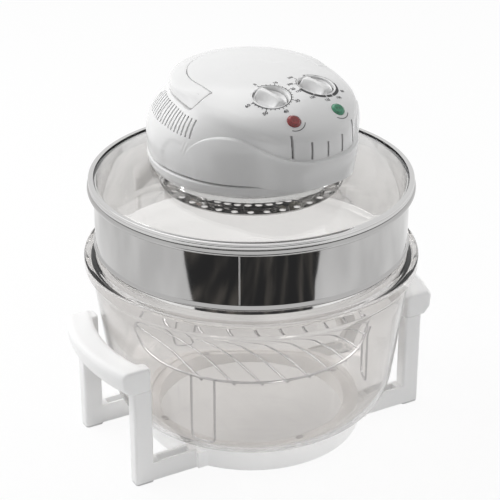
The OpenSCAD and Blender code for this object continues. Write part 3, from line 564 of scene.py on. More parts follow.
def bowl():
    """Glass bowl: a round foot, a sloping wall that flares into the rim, and a ledge for the extender."""
    wall_low = foot_z - FOOT_ROUND * math.sin(DRAFT)
    flare_low = neck_z - FLARE_DOWN
    flare_high = neck_z + FLARE_UP
    slope = -math.degrees(DRAFT)
    outer = arc(foot_r, foot_z, FOOT_ROUND, -90, slope, 28)
    outer += [(wall_at(z), z) for z in steps_between(wall_low, flare_low, 18)[1:-1]]
    for z in steps_between(flare_low, flare_high, 14):
        t = (z - flare_low) / (flare_high - flare_low)
        outer.append((wall_at(z) + (RIM_R - LIP_ROUND - wall_at(flare_high)) * t ** 3, z))
    rim = arc(RIM_R - UNDERLIP["r"], neck_z + UNDERLIP["up"], UNDERLIP["r"], -60, 0, 4)
    rim += arc(RIM_R - LIP_ROUND, RIM_Z - LIP_ROUND, LIP_ROUND, 0, 80, 6)
    rim += arc(RIM_R - GROOVE["in"], RIM_Z + GROOVE["up"], GROOVE["r"], -50, -130, 8)
    rim += arc(POCKET_R + SOFT, RIM_Z - SOFT, SOFT, 90, 180, 4)
    inner = [(POCKET_R, RIM_Z - 5.2), (POCKET_R - SOFT, RIM_Z - POCKET_H), (LEDGE_R + SOFT, RIM_Z - POCKET_H)]
    inner += arc(LEDGE_R + 1, RIM_Z - POCKET_H - 1, 1, 90, 180, 3)
    blend_high = RIM_Z - POCKET_H - 2.5
    blend_low = neck_z - BLEND_DOWN
    for z in steps_between(blend_high, blend_low, 20):
        share = ease(blend_high, blend_low, z)
        inner.append((LEDGE_R + (wall_at(z, GLASS) - LEDGE_R) * share, z))
    inner += [(wall_at(z, GLASS), z) for z in steps_between(blend_low, wall_low, 12)[1:-1]]
    inner += arc(foot_r, foot_z, FOOT_ROUND - GLASS, slope, -90, 28)
    floor_z = BOWL_Z + GLASS
    ripple_radii = range(RIPPLES["r"], RIPPLES["step"], -RIPPLES["step"])
    ripples = [(r, floor_z - (RIPPLES["deep"] if i % 2 else 0.0)) for i, r in enumerate(ripple_radii)]
    outline = [(0, BOWL_Z)] + outer + rim + inner + ripples + [(0, floor_z)]
    return dress(smooth(lathe("bowl", outline, closed=False), angle=50), SMOKED, "glass_bowl")


# Extender

SKIN = 1.0
SKIRT_R = EXT_R - SKIN
BEAD_Z = RIM_Z + 12
BEAD_R = 2.2
BEAD_HALF = 3.4
ROLL = 3.0
ROLL_FOOT = EXT_TOP - 2.2 * ROLL
RING_STEPS = 256
SEAM = {"angle": 237, "apart": 0.4, "half": 0.3, "sunk": 0.5, "proud": 0.4, "round": 0.38}


def extender():
    """Sheet with a rolled top, a bead and a skirt that drops into the bowl's rim."""
    roll_r = EXT_R + ROLL - 0.1
    outline = [(SKIRT_R, EXT_Z), (SKIRT_R, BEAD_Z - 3)]
    outline += arc(SKIRT_R + 0.6, BEAD_Z, BEAD_R, -62, 62, 8)
    outline += [(EXT_R, BEAD_Z + BEAD_HALF), (EXT_R, EXT_TOP - 2 * ROLL)]
    outline += arc(roll_r, EXT_TOP - ROLL, ROLL, -150, 150, 20)
    outline += [(EXT_R - SKIN, ROLL_FOOT), (EXT_R - SKIN, BEAD_Z + BEAD_HALF)]
    outline += [(SKIRT_R - SKIN, BEAD_Z - 2), (SKIRT_R - SKIN, EXT_Z)]
    piece = lathe("extender", outline, steps=RING_STEPS)
    return dress(smooth(piece, angle=40), POLISHED, "extender_ring")


def weld_seam():
    """The weld down the sheet: two narrow ridges with a groove between them."""
    place = Matrix.Rotation(math.radians(SEAM["angle"]), 4, "Z")
    ridges = []
    for side in (-SEAM["apart"], SEAM["apart"]):
        low = (EXT_R - SEAM["sunk"], side - SEAM["half"], BEAD_Z + 4)
        high = (EXT_R + SEAM["proud"], side + SEAM["half"], ROLL_FOOT)
        ridges.append(block(low, high, place))
    piece = joined("weld_seam", ridges)
    modify(piece, "BEVEL", width=SEAM["round"] * MM, segments=4, limit_method="ANGLE")
    paint(piece, WELD)
    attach(smooth(piece), "extender")
    slot_of("extender_ring")
    return piece


# Lid

BAND_R = 157.0
BAND_H = 6.6
BAND_SKIRT = 8
BAND_BEAD_R = 1.1
SHOULDER_R = 1.6
SHOULDER_DOWN = 1.9
EDGE_R = BAND_R - 2.2
FLAT_R = 97
HOLE_R = 70
DOME_R = EDGE_R - 4
DOME_POWER = 1.35
PANE_EDGE = 0.4


def dome_z(r):
    """Height of the pane's under side."""
    return PANE_Z + (FLAT_Z - PANE_Z) * (1 - ((r - FLAT_R) / (DOME_R - FLAT_R)) ** DOME_POWER)


def lid_pane():
    """Domed glass with a hole in its middle and softened edges."""
    radii = steps_between(DOME_R, FLAT_R, 24)
    under = [(EDGE_R, PANE_Z + PANE_EDGE), (EDGE_R - PANE_EDGE, PANE_Z)]
    under += [(r, dome_z(r)) for r in radii] + [(HOLE_R, FLAT_Z)]
    over = [(HOLE_R, FLAT_Z + PANE)] + [(r, dome_z(r) + PANE) for r in reversed(radii)]
    over += [(EDGE_R - PANE_EDGE, PANE_Z + PANE), (EDGE_R, PANE_Z + PANE - PANE_EDGE)]
    return dress(smooth(lathe("lid_pane", under + over), angle=50), CLEAR, "glass_lid")


def lid_band():
    """Rolled channel round the pane, with a bead on its shoulder and a skirt inside the extender."""
    inside = SKIRT_R - 2.4
    low = LID_Z
    high = low + BAND_H
    foot = low - BAND_SKIRT
    # Up the skirt, out along the foot, round the bead, over the shoulder and back under it
    outline = [(inside, foot), (inside + 0.5, foot), (inside + SKIN, foot + 0.6), (inside + SKIN, low)]
    outline += [(BAND_R - 1.3, low)] + arc(BAND_R - BAND_BEAD_R, low + BAND_BEAD_R, BAND_BEAD_R, -80, 60, 6)
    outline += [(BAND_R - 0.9, low + 2.6)]
    outline += arc(BAND_R - SHOULDER_R, high - SHOULDER_DOWN, SHOULDER_R, -20, 90, 8)
    outline += [(BAND_R - 3.4, high - 0.3), (BAND_R - 4.6, high - 0.25), (BAND_R - 5, high - 0.6)]
    outline += [(BAND_R - 4.4, high - 0.8), (BAND_R - 1.2, high - 0.8)]
    outline += [(BAND_R - 1.2, low + 1), (inside, low + 1)]
    return dress(smooth(lathe("lid_band", outline, steps=RING_STEPS), angle=30), BRIGHT, "lid_band")


# Head form: the same rule as the part's, on a finer grid

HEAD_R = 100
NOSE_R = 120
SIDE_Z = HEAD_Z + 17
SIDE = {"draft": 0.07, "power": 3.3, "root": 1 / 2.6}
REAR = {"power": 2, "root": 0.5, "angle": 80, "blend": 6}
CROWN = {"r": 77, "down": 24, "round": 12, "power": 2.2, "root": 1 / 1.35}  # the flat top's edge at the rear
FRONT = {"draft": 0.1, "panel_r": 105, "panel_h": 18, "panel_root": 0.25, "sharp": 40, "edge": 4}
REACH = {"low": 27, "more": 23, "from": 36, "to": 13}  # angle that the nose takes up, wider at the top
BELT = {"h": 27, "rise": 18, "proud": 4, "peak": 48, "end": 74, "low": 8, "fade": 10, "foot": 0.4, "wave": 1.3}
ARCH = {"angle": 79, "half": 12.5, "h": 33, "power": 2.5, "deep": 0.7, "slope": 3, "ends": 0.12}
LIP = 1.4


def side_r(z, power, root):
    """Radius where the head is round: nearly straight up to a height, then a dome."""
    level = min(1, max(0, (z - SIDE_Z) / (TOP_Z - SIDE_Z)))
    return (HEAD_R - SIDE["draft"] * max(0, SIDE_Z - z)) * (1 - level ** power) ** root


def rear_r(z):
    dome = side_r(z, REAR["power"], REAR["root"])
    if z <= TOP_Z - CROWN["down"]:
        return dome
    level = max(0, (z - TOP_Z + CROWN["round"]) / CROWN["round"])
    crown = CROWN["r"] * max(0, 1 - level ** CROWN["power"]) ** CROWN["root"]
    return max(dome, crown)


def front_r(z):
    """Radius of the nose below and of the sloping panel above, with a soft corner between them."""
    nose = NOSE_R - FRONT["draft"] * max(0, SIDE_Z - z)
    panel = FRONT["panel_r"] * (max(0.001, TOP_Z - z) / FRONT["panel_h"]) ** FRONT["panel_root"]
    sharp = FRONT["sharp"]
    return (nose ** -sharp + panel ** -sharp) ** (-1 / sharp)


def head_r(phi, z):
    """Radius of the head at an angle from the front, in degrees, and a height."""
    reach = REACH["low"] + REACH["more"] * ease(TOP_Z - REACH["from"], TOP_Z - REACH["to"], z)
    front = math.exp(-(phi / reach) ** FRONT["edge"])
    rear = 1 / (1 + math.exp((REAR["angle"] - phi) / REAR["blend"]))
    behind = (1 - rear) * side_r(z, SIDE["power"], SIDE["root"]) + rear * rear_r(z)
    return front * front_r(z) + (1 - front) * behind


def lip_z(phi):
    """Height of the belt's top edge."""
    peak = HEAD_Z + BELT["h"] + BELT["rise"]
    if phi < BELT["peak"]:
        return peak - BELT["rise"] * (1 + math.cos(math.pi * (phi / BELT["peak"]) ** BELT["wave"])) / 2
    way = max(0, 1 - ((phi - BELT["peak"]) / (BELT["end"] - BELT["peak"])) ** 2)
    return HEAD_Z + BELT["low"] + (peak - HEAD_Z - BELT["low"]) * math.sqrt(way)


def belt_out(phi, v):
    """How far the belt stands out, at a share of its height."""
    round_it = 1 - ease(BELT["peak"] - BELT["fade"], BELT["end"], phi)
    return BELT["proud"] * round_it * (BELT["foot"] + (1 - BELT["foot"]) * ease(0, 1, v))


def side_arch(phi, z):
    """A shallow arch pressed into each side."""
    across = abs(phi - ARCH["angle"]) / ARCH["half"]
    top = HEAD_Z + ARCH["h"] * math.sqrt(max(0, 1 - across ** ARCH["power"]))
    return ARCH["deep"] * ease(0, ARCH["slope"], top - z) * ease(0, ARCH["ends"], 1 - across)


def head_form(name, grow, low, belt=False, columns=240, up=64):
    """Closed solid of the head's outer form, grown by a distance."""
    high = TOP_Z + grow - TOP_CUT
    belt_rows = 10
    spots = []

    def spot(angle, z, out):
        phi = min(angle, 360 - angle)
        r = max(4, head_r(phi, z - grow) + grow) + out
        if belt:
            r -= side_arch(phi, z)
        a = math.radians(angle)
        return (r * math.sin(a), -r * math.cos(a), z)

    for k in range(columns):
        angle = 360 * k / columns
        phi = min(angle, 360 - angle)
        column = []
        first = low
        if belt:
            edge = lip_z(phi)
            foot = edge - LIP - low
            column = [spot(angle, low + foot * i / belt_rows, belt_out(phi, i / belt_rows))
                      for i in range(belt_rows)]
            for t in (0, 0.5, 1.0, 1.5):
                out = belt_out(phi, 1) * (0.55 + 0.45 * math.cos(t))
                column.append(spot(angle, edge - LIP + LIP * math.sin(t), out))
            first = edge + 0.4
        column += [spot(angle, first + (high - first) * (1 - (1 - i / up) ** 1.7), 0) for i in range(up + 1)]
        rows = len(column)
        spots += column
    faces = []
    for k in range(columns):
        m = (k + 1) % columns
        faces += [(k * rows + j, m * rows + j, m * rows + j + 1, k * rows + j + 1) for j in range(rows - 1)]
    faces.append([k * rows for k in reversed(range(columns))])
    faces.append([k * rows + rows - 1 for k in range(columns)])
    return edit(sheet_of(name, spots, faces), outward)


# Handle's space and the head's openings

LEDGE_TOP = TOP_Z - 20
HANDLE_H = 16
HANDLE_END = 9.4
PIVOT = (0, -15, LEDGE_TOP + SEAT_GAP + HANDLE_H / 2)
SHELL = 2.5
NOTCH_IN = 60
NOTCH_FLOOR = LEDGE_TOP - 1.2
NOTCH_END = HANDLE_END + 0.6
PIN_R = 3
RUN = 0.05
BEYOND = 130  # past the head's widest place
PAST = 5  # what a cutter goes past what it cuts


def side_axis(side, x):
    """The place of the handle's turning axis at a distance to one side, with Z outward."""
    spot = Matrix.Translation((side * x, PIVOT[1], PIVOT[2]))
    return spot @ Matrix.Rotation(side * math.pi / 2, 4, "Y")


def handle_space(inner, low, reach, open_front=True):
    """The space outside a U, with round ends about the handle's pivots, and room for it to fold up."""
    tall = 60
    fold_room = 40
    over = low + tall + 2 * PAST
    solid = block((-BEYOND, PIVOT[1], low), (BEYOND, BEYOND, low + tall))
    combine(solid, "DIFFERENCE", cylinder(inner, low - PAST, over, sides=160))
    combine(solid, "DIFFERENCE", block((-inner, -BEYOND, low - PAST), (inner, 0, over)))
    for side in (-1, 1):
        combine(solid, "UNION", cylinder(reach, 0, tall, side_axis(side, inner), sides=96))
        if open_front:
            ends = sorted((side * inner, side * (inner + tall)))
            front = (ends[0], PIVOT[1] - reach, PIVOT[2])
            combine(solid, "UNION", block(front, (ends[1], PIVOT[1] + PAST, PIVOT[2] + fold_room)))
    combine(solid, "DIFFERENCE", block((-BEYOND, -BEYOND, low - tall / 2), (BEYOND, BEYOND, low)))
    return solid


KNOB = {"x": 25.5, "y": 66.5, "drop": 4.6, "tilt": 12, "r": 16, "face": 15.6, "grip": 3.9,
        "widen": 0.9, "flank": (0.4, 1.15), "fall": 0.3, "end": 0.45, "ridge": 7.9, "lip": 2.2,
        "dish": 4.8, "skirt": 4.6, "foot": 0.5, "shaft_r": 3, "shaft_deep": 9}
LENS = {"x": 24.5, "y": 100.5, "drop": 18, "tilt": 33, "r": 6.5}
WELL_R = KNOB["r"] + 0.6
WELL_H = 8
WELL_MOUTH = 1.6
NOSE_VENTS = {"count": 5, "step": 16.75, "half": 1, "r": 105, "top": 43, "bow": 11, "deep": 25}
SIDE_VENTS = {"count": 17, "first": -35, "span": 86, "wide": 2, "low": 38, "high": 54.5, "in": 34, "out": 6}
LENS_RUN = 0.1
SHAFT_HOLE_R = 3.3
OPENING_R = 90.5
GLAND = {"r": 8, "up": 18, "in": 14, "long": 30}
PLUNGER = {"x": 68, "y": 22, "r": 2.3, "down": 8, "up": 4}
LENS_DEEP = 12
BORE_DEEP = 9


def control(side, where):
    """The place of a knob or a lens on the head."""
    spot = Matrix.Translation((side * where["x"], -where["y"], TOP_Z - where["drop"]))
    return spot @ Matrix.Rotation(math.radians(where["tilt"]), 4, "X")


def well_tool(side):
    """Cuts a knob's well with a softened mouth."""
    outline = [(0, -WELL_H), (WELL_R, -WELL_H), (WELL_R, -WELL_MOUTH)]
    outline += [(WELL_R + 0.15, -0.9), (WELL_R + 0.5, -0.35), (WELL_R + 1.1, 0), (WELL_R + 1.1, 12), (0, 12)]
    return settle(lathe("well", outline, steps=96, closed=False), shift(control(side, KNOB)))


def nose_vents():
    """Slots from the belt's top edge upward, the outer ones higher."""
    cuts = []
    for i in range(NOSE_VENTS["count"]):
        x = (i - 2) * NOSE_VENTS["step"]
        low = lip_z(math.degrees(math.atan2(abs(x), NOSE_VENTS["r"]))) + LIP
        high = HEAD_Z + NOSE_VENTS["top"] + (x / NOSE_VENTS["bow"]) ** 2
        near = (x - NOSE_VENTS["half"], -NOSE_R - PAST, low)
        cuts.append(block(near, (x + NOSE_VENTS["half"], -NOSE_R + NOSE_VENTS["deep"], high)))
    return cuts


def side_vents():
    """A row of slots in each side."""
    cuts = []
    for side in (-1, 1):
        ends = sorted((side * (HEAD_R - SIDE_VENTS["in"]), side * (HEAD_R + SIDE_VENTS["out"])))
        for i in range(SIDE_VENTS["count"]):
            y = SIDE_VENTS["first"] + i * SIDE_VENTS["span"] / (SIDE_VENTS["count"] - 1)
            low = (ends[0], y, HEAD_Z + SIDE_VENTS["low"])
            cuts.append(block(low, (ends[1], y + SIDE_VENTS["wide"], HEAD_Z + SIDE_VENTS["high"])))
    return cuts


def upper_housing():
    """White shell of the head, with a notch for the handle, wells, lamp holes, vents and the gland's hole."""
    shell = head_form("upper_housing.finished", 0, HEAD_Z, belt=True)
    combine(shell, "DIFFERENCE", handle_space(NOTCH_IN, NOTCH_FLOOR, NOTCH_END))
    hollow = head_form("hollow", -SHELL, HEAD_Z + SHELL, columns=120, up=24)
    combine(hollow, "DIFFERENCE", handle_space(NOTCH_IN - SHELL, NOTCH_FLOOR - SHELL, NOTCH_END + SHELL))
    combine(shell, "DIFFERENCE", hollow)
    for side in (-1, 1):
        at_knob = control(side, KNOB)
        at_lens = control(side, LENS)
        combine(shell, "UNION", cylinder(WELL_R + 2, -WELL_H - 2, -WELL_MOUTH, at_knob, sides=96))
        combine(shell, "DIFFERENCE", well_tool(side))
        combine(shell, "DIFFERENCE", cylinder(SHAFT_HOLE_R, -WELL_H - 4, -WELL_H + 1, at_knob, sides=32))
        combine(shell, "DIFFERENCE", cylinder(LENS["r"] + LENS_RUN, -LENS_DEEP, LENS_DEEP, at_lens, sides=64))
    combine(shell, "DIFFERENCE", cylinder(OPENING_R, HEAD_Z - 1, HEAD_Z + SHELL + 1, sides=160))
    cuts = nose_vents() + side_vents()
    back = Matrix.Translation((0, HEAD_R - GLAND["in"], HEAD_Z + GLAND["up"]))
    cuts.append(cylinder(GLAND["r"], 0, GLAND["long"], back @ Matrix.Rotation(-math.pi / 2, 4, "X")))
    at_plunger = Matrix.Translation((PLUNGER["x"], PLUNGER["y"], LEDGE_TOP))
    cuts.append(cylinder(PLUNGER["r"], -PLUNGER["down"], PLUNGER["up"], at_plunger, sides=32))
    combine(shell, "DIFFERENCE", joined("cuts", cuts))
    shell.data.transform(LID)
    return dress(smooth(shell, angle=28), WHITE, "upper_housing")


def carry_handle():
    """The part of the head's form in the notch, with all its edges melted, and a bore for each pin."""
    form = head_form("carry_handle.finished", -0.1, HEAD_Z + 40, up=60)
    space = handle_space(NOTCH_IN + 0.5, LEDGE_TOP + SEAT_GAP, HANDLE_END, open_front=False)
    combine(form, "INTERSECT", space)
    for side in (-1, 1):
        bore = cylinder(PIN_R + RUN, 0, BORE_DEEP, side_axis(side, NOTCH_IN - 0.5), sides=48)
        combine(form, "DIFFERENCE", bore)
    modify(form, "REMESH", mode="VOXEL", voxel_size=0.7 * MM)
    modify(form, "SMOOTH", factor=0.5, iterations=6)
    form.data.transform(LID)
    return dress(smooth(form, angle=60), WHITE, "carry_handle")


SHAFT_R = 6
MOUTH_R = 92
MOUTH_LIP_R = 89.5


def lower_housing():
    """White dish under the head, open above."""
    shoulder = [(SHAFT_R, LOW_Z), (HEAD_R - 8, LOW_Z), (HEAD_R - 3, LOW_Z + 2), (HEAD_R - 1.2, LOW_Z + 6)]
    shoulder += [(HEAD_R - 0.5, HEAD_Z - 3.2), (HEAD_R - 1.6, HEAD_Z - 2.2), (MOUTH_R, HEAD_Z - 2.2)]
    inside = [(MOUTH_R, HEAD_Z), (MOUTH_LIP_R, HEAD_Z), (MOUTH_LIP_R, HEAD_Z - 4.7), (HEAD_R - 3, HEAD_Z - 5.5)]
    inside += [(HEAD_R - 3.7, LOW_Z + 5.5), (HEAD_R - 6.5, LOW_Z + SHELL), (SHAFT_R, LOW_Z + SHELL)]
    outline = rounded_outline(shoulder + inside, radius=1.0, steps=3)
    return dress(smooth(lathe("lower_housing.finished", outline), angle=35), WHITE, "lower_housing")


# Controls

def knob_top(x, y):
    """Height of a knob: a sunk dish with a lip, and a grip across it that widens at its ends."""
    r = math.hypot(x, y) / KNOB["face"]
    half = KNOB["grip"] * (1 + KNOB["widen"] * r * r)
    crest, flank = KNOB["flank"]
    side = max(0, abs(x) - half * crest) / (half * flank)
    along = 1 - KNOB["fall"] * r ** 3 - KNOB["end"] * ease(0.84, 1, r)
    grip = KNOB["ridge"] * (1 - ease(0, 1, side)) * along
    lip = KNOB["lip"] * ease(0.76, 0.98, r)
    rolled_from = 0.94
    roll = 1.2 * max(0, (r - rolled_from) / 0.06) ** 2
    return max(lip, grip) - KNOB["dish"] - roll


def knob(node, side, turn):
    """A dished disc with a grip, which sits in its well."""
    rings = 40
    around = 96
    angles = [2 * math.pi * k / around for k in range(around)]
    radii = [KNOB["face"] * math.sin(math.pi / 2 * i / rings) for i in range(rings + 1)]
    spots = [(0, 0, knob_top(0, 0))]
    for r in radii[1:]:
        ring = [(r * math.cos(a), r * math.sin(a)) for a in angles]
        spots += [(x, y, knob_top(x, y)) for x, y in ring]
    for z in (-KNOB["skirt"], -WELL_H + KNOB["foot"]):
        spots += [(KNOB["r"] * math.cos(a), KNOB["r"] * math.sin(a), z) for a in angles]
    rows = rings + 2
    faces = [(0, 1 + k, 1 + (k + 1) % around) for k in range(around)]
    for row in range(rows - 1):
        start = 1 + row * around
        faces += [(start + k, start + around + k, start + around + (k + 1) % around, start + (k + 1) % around)
                  for k in range(around)]
    faces.append([1 + (rows - 1) * around + k for k in range(around)])
    disc = edit(sheet_of(node + ".finished", spots, faces), outward)
    shaft = cylinder(KNOB["shaft_r"], -WELL_H - KNOB["shaft_deep"], -WELL_H + 0.6, sides=32)
    piece = joined(node + ".finished", [disc, shaft])
    settle(piece, LID @ shift(control(side, KNOB)) @ Matrix.Rotation(math.radians(turn), 4, "Z"))
    return dress(smooth(piece, angle=40), WHITE, node)


def dial_angle(clockwise):
    """The angle, in radians, of a mark so many degrees clockwise from the top."""
    return math.radians(90 - clockwise)


def ring_mark(r, width, start, stop):
    """A printed arc round a control, clockwise from the top, in degrees."""
    steps = max(2, int(abs(stop - start) / 3))
    spots = []
    for angle in steps_between(start, stop, steps):
        a = dial_angle(angle)
        for edge in (r - width / 2, r + width / 2):
            spots.append((edge * math.cos(a), edge * math.sin(a), 0))
    return sheet_of("mark", spots, [(2 * i, 2 * i + 1, 2 * i + 3, 2 * i + 2) for i in range(steps)])


def tick(r, length, width, angle):
    """A printed line, outward from a radius."""
    a = dial_angle(angle)
    out = Vector((math.cos(a), math.sin(a), 0))
    across = Vector((-out.y, out.x, 0)) * width / 2
    near = out * r
    far = out * (r + length)
    return sheet_of("mark", [near - across, far - across, far + across, near + across], [(0, 1, 2, 3)])


def figure(text, r, angle, size):
    """A printed number, upright, outside the dial."""
    deselect()
    bpy.ops.object.text_add()
    piece = bpy.context.object
    letters = piece.data
    letters.body = text
    letters.size = size * MM
    letters.align_x = "CENTER"
    letters.align_y = "CENTER"
    letters.resolution_u = 3
    letters.offset = 0.03 * size * MM
    bpy.ops.object.convert(target="MESH")
    a = dial_angle(angle)
    piece.data.transform(Matrix.Translation((r * math.cos(a) * MM, r * math.sin(a) * MM, 0)))
    return piece


def printed(name, marks, place, onto):
    """Lays flat marks on the head along the control's own axis."""
    above = 14
    piece = joined(name, marks)
    piece.matrix_world = LID @ shift(place @ Matrix.Translation((0, 0, above)))
    bpy.context.view_layer.update()
    modify(piece, "SHRINKWRAP", wrap_method="PROJECT", use_project_z=True, use_negative_direction=True,
           use_positive_direction=False, target=onto, offset=0.12 * MM)
    settle(piece)
    paint(piece, INK)
    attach(piece, "lid")
    slot_of("upper_housing")
    return piece


LINE = 0.75
DIAL_R = 18.7
TIMER = {"sweep": 270, "steps": 24, "each": 4, "minutes": 10, "long": 2.6, "short": 1.7,
         "out": 5.8, "size": 4.8}
HEAT_ARCS = ((5, 35, 0.7), (35, 60, 1.1), (60, 95, 1.9), (95, 125, 2.4), (126, 165, 2.9), (168, 186, 2.9),
             (189, 222, 3.1), (225, 264, 3.2))  # start, stop and width
DOTTED = (268, 322, 6)  # start, stop and step of the dial's dotted part
HEATS = ("80", "100", "125", "150", "175", "200", "250")
HEAT = {"first": 125, "step": 33, "tick": 2.4, "line": 0.6, "out": 6.2, "size": 3.9}
LAMP_ARC = {"middle": 168, "half": 50, "out": 3.6, "line": 0.7}


def timer_marks(onto):
    """Minutes from 0 to 60, clockwise from the top."""
    marks = [ring_mark(DIAL_R, LINE, -2, TIMER["sweep"] + 2)]
    for i in range(TIMER["steps"] + 1):
        angle = TIMER["sweep"] * i / TIMER["steps"]
        major = i % TIMER["each"] == 0
        marks.append(tick(DIAL_R, TIMER["long"] if major else TIMER["short"], LINE, angle))
        if major:
            minutes = str(i // TIMER["each"] * TIMER["minutes"])
            marks.append(figure(minutes, DIAL_R + TIMER["out"], angle, TIMER["size"]))
    return printed("timer_marks", marks, control(-1, KNOB), onto)


def heat_marks(onto):
    """A scale that thickens with the heat, with plain temperatures beside it."""
    marks = [ring_mark(DIAL_R, 1.8, -3, 3)]
    for start, stop, width in HEAT_ARCS:
        marks.append(ring_mark(DIAL_R + width / 2 - 0.3, width, start, stop))
    for start in range(*DOTTED):
        marks.append(ring_mark(DIAL_R, LINE, start, start + 3.5))
    for i, number in enumerate(HEATS):
        angle = HEAT["first"] + HEAT["step"] * i
        marks.append(tick(DIAL_R, HEAT["tick"], HEAT["line"], angle))
        marks.append(figure(number, DIAL_R + HEAT["out"], angle, HEAT["size"]))
    return printed("heat_marks", marks, control(1, KNOB), onto)


def lamp_marks(side, onto):
    """A short printed arc under a signal lamp."""
    name = "left_lamp_mark" if side < 0 else "right_lamp_mark"
    start = LAMP_ARC["middle"] - LAMP_ARC["half"]
    stop = LAMP_ARC["middle"] + LAMP_ARC["half"]
    arc_mark = ring_mark(LENS["r"] + LAMP_ARC["out"], LAMP_ARC["line"], start, stop)
    return printed(name, [arc_mark], control(side, LENS), onto)


# Stand

def bevelled(node, width, finish):
    """A CAD solid's copy with its sharp edges rounded."""
    piece = edit(copy_of(node), lambda: bpy.ops.mesh.dissolve_limited(angle_limit=math.radians(0.4)))
    sharp = math.radians(40)
    modify(piece, "BEVEL", width=width * MM, segments=3, limit_method="ANGLE", angle_limit=sharp)
    return dress(smooth(piece, angle=32), finish, node)


def softened(node, voxel, rounds, finish):
    """A CAD solid's copy with all its edges melted, as a thick moulding has."""
    piece = copy_of(node)
    modify(piece, "REMESH", mode="VOXEL", voxel_size=voxel * MM)
    modify(piece, "SMOOTH", factor=0.5, iterations=rounds)
    return dress(smooth(piece, angle=60), finish, node)


def shaded(node, finish, angle=30):
    """A CAD solid's copy with its round faces shaded smooth."""
    return dress(smooth(copy_of(node), angle), finish, node)


bowl()
extender()
weld_seam()
lid_pane()
lid_band()
housing = upper_housing()
carry_handle()
lower_housing()
knob("timer_knob", side=-1, turn=13)
knob("temp_knob", side=1, turn=17)
timer_marks(housing)
heat_marks(housing)
for side in (-1, 1):
    lamp_marks(side, housing)
for corner in ("front_left", "front_right", "rear_left", "rear_right"):
    bevelled("leg_" + corner, width=1.2, finish=STAND_WHITE)
bevelled("base_ring", width=1.0, finish=RING_WHITE_PAINTED_GLOW)
for grip in ("left_grip", "right_grip"):
    softened(grip, voxel=1.2, rounds=12, finish=STAND_WHITE)
for node in ("rack_ring", "rack_grid", "rack_legs"):
    shaded(node, WIRE)
for node in ("fan_guard", "guard_posts", "reflector_pan"):
    shaded(node, BRIGHT)
shaded("power_lens", RED)
shaded("heat_lens", GREEN)
bevelled("cord_gland", width=0.5, finish=INNER)

hidden = {
    RUBBER: ("lid_seal",),
    PALE_RUBBER: ("foot_pads", "bowl_pads"),
    PLAIN: ("leg_screws", "heat_shield", "motor", "motor_bracket", "thermostat_unit", "handle_pins",
            "housing_screws", "motor_shaft", "fan_nut"),
    INNER: ("timer_unit", "terminal_block", "lamp_holders", "cooling_fan", "switch_plunger"),
    ALUMINIUM: ("convection_fan",),
    BOARD: ("insulation_disc",),
    CERAMIC: ("lamp_sockets",),
    TUBE: ("halogen_lamp",),
    COPPER: ("thermostat_bulb",),
    DARK: ("safety_switch",),
}
for finish, nodes in hidden.items():
    for node in nodes:
        shaded(node, finish)


# Floor, light and camera

FLOOR_SIZE = 9
FLOOR_DOWN = 0.0005
FLOOR_COLOUR = (0.84, 0.84, 0.84)
FLOOR_GLOW = 0.93
SKY_LIGHT = 0.30
SKY_MIRRORED = 0.75
CAMERA_TURN = math.radians(-29)
CAMERA_TILT = math.radians(26.8)
CAMERA_FAR = 1.627
CAMERA_LENS = 118.8
CAMERA_AIM = Vector((0, 0, 0.18704)) - Vector((math.cos(CAMERA_TURN), math.sin(CAMERA_TURN), 0)) * 0.00126
CARD_OUTLINE = [
    (230, -357), (330, -402), (365, -432), (520, -492), (742, -600), (742, -1000), (-742, -1000), (-742, -600),
    (-500, -497), (-420, -448), (-300, -412), (-200, -357)]
CARD_UP = 2


def white_to_the_eye(colour, share):
    """A matt surface that is also lit evenly for the eye, so that it looks white and keeps a shadow.

    What mirrors it sees faint patches, as of a room.
    """
    finish = Finish("studio_floor")
    finish.set(Base_Color=colour + (1,), Roughness=0.9, Specular_IOR_Level=0.0)
    paths = finish.tree.nodes.new("ShaderNodeLightPath").outputs
    mirrored = Value(finish, paths["Is Glossy Ray"])
    seen = Value(finish, paths["Is Camera Ray"]).math("MAXIMUM", Value(finish, paths["Is Transmission Ray"]))
    seen = seen.math("MAXIMUM", mirrored)
    patches = finish.noise(size=260).over(edge=0.5, soft=0.16)
    inputs = {"Color": (1, 1, 1, 1), "Strength": 1 - mirrored * patches * 0.2}
    glow = finish.node("ShaderNodeEmission", {}, inputs, "Emission")
    both = finish.node("ShaderNodeMixShader", {}, {0: seen * share, 1: finish.body.outputs[0], 2: glow})
    finish.tree.links.new(both.socket, finish.end.inputs["Surface"])
    return finish.material


def floor():
    """A wide floor just under the feet."""
    deselect()
    bpy.ops.mesh.primitive_plane_add(size=FLOOR_SIZE, location=(0, 0, -FLOOR_DOWN))
    piece = settle(bpy.context.object)
    piece.name = "studio_floor"
    piece.data.materials.append(white_to_the_eye(FLOOR_COLOUR, FLOOR_GLOW))


def towards(turn, tilt):
    """The direction of a viewer or a lamp, turned from the front and raised, in radians."""
    return Vector((math.sin(turn) * math.cos(tilt), -math.cos(turn) * math.cos(tilt), math.sin(tilt)))


def camera():
    """The photograph's camera, fitted to its rims and to the stand's corners."""
    view = bpy.data.cameras.new("camera")
    view.lens = CAMERA_LENS
    view.sensor_width = 36
    piece = bpy.data.objects.new("camera", view)
    bpy.context.scene.collection.objects.link(piece)
    way = towards(CAMERA_TURN, CAMERA_TILT)
    piece.location = CAMERA_AIM + way * CAMERA_FAR
    piece.rotation_euler = way.to_track_quat("Z", "Y").to_euler()
    bpy.context.scene.camera = piece


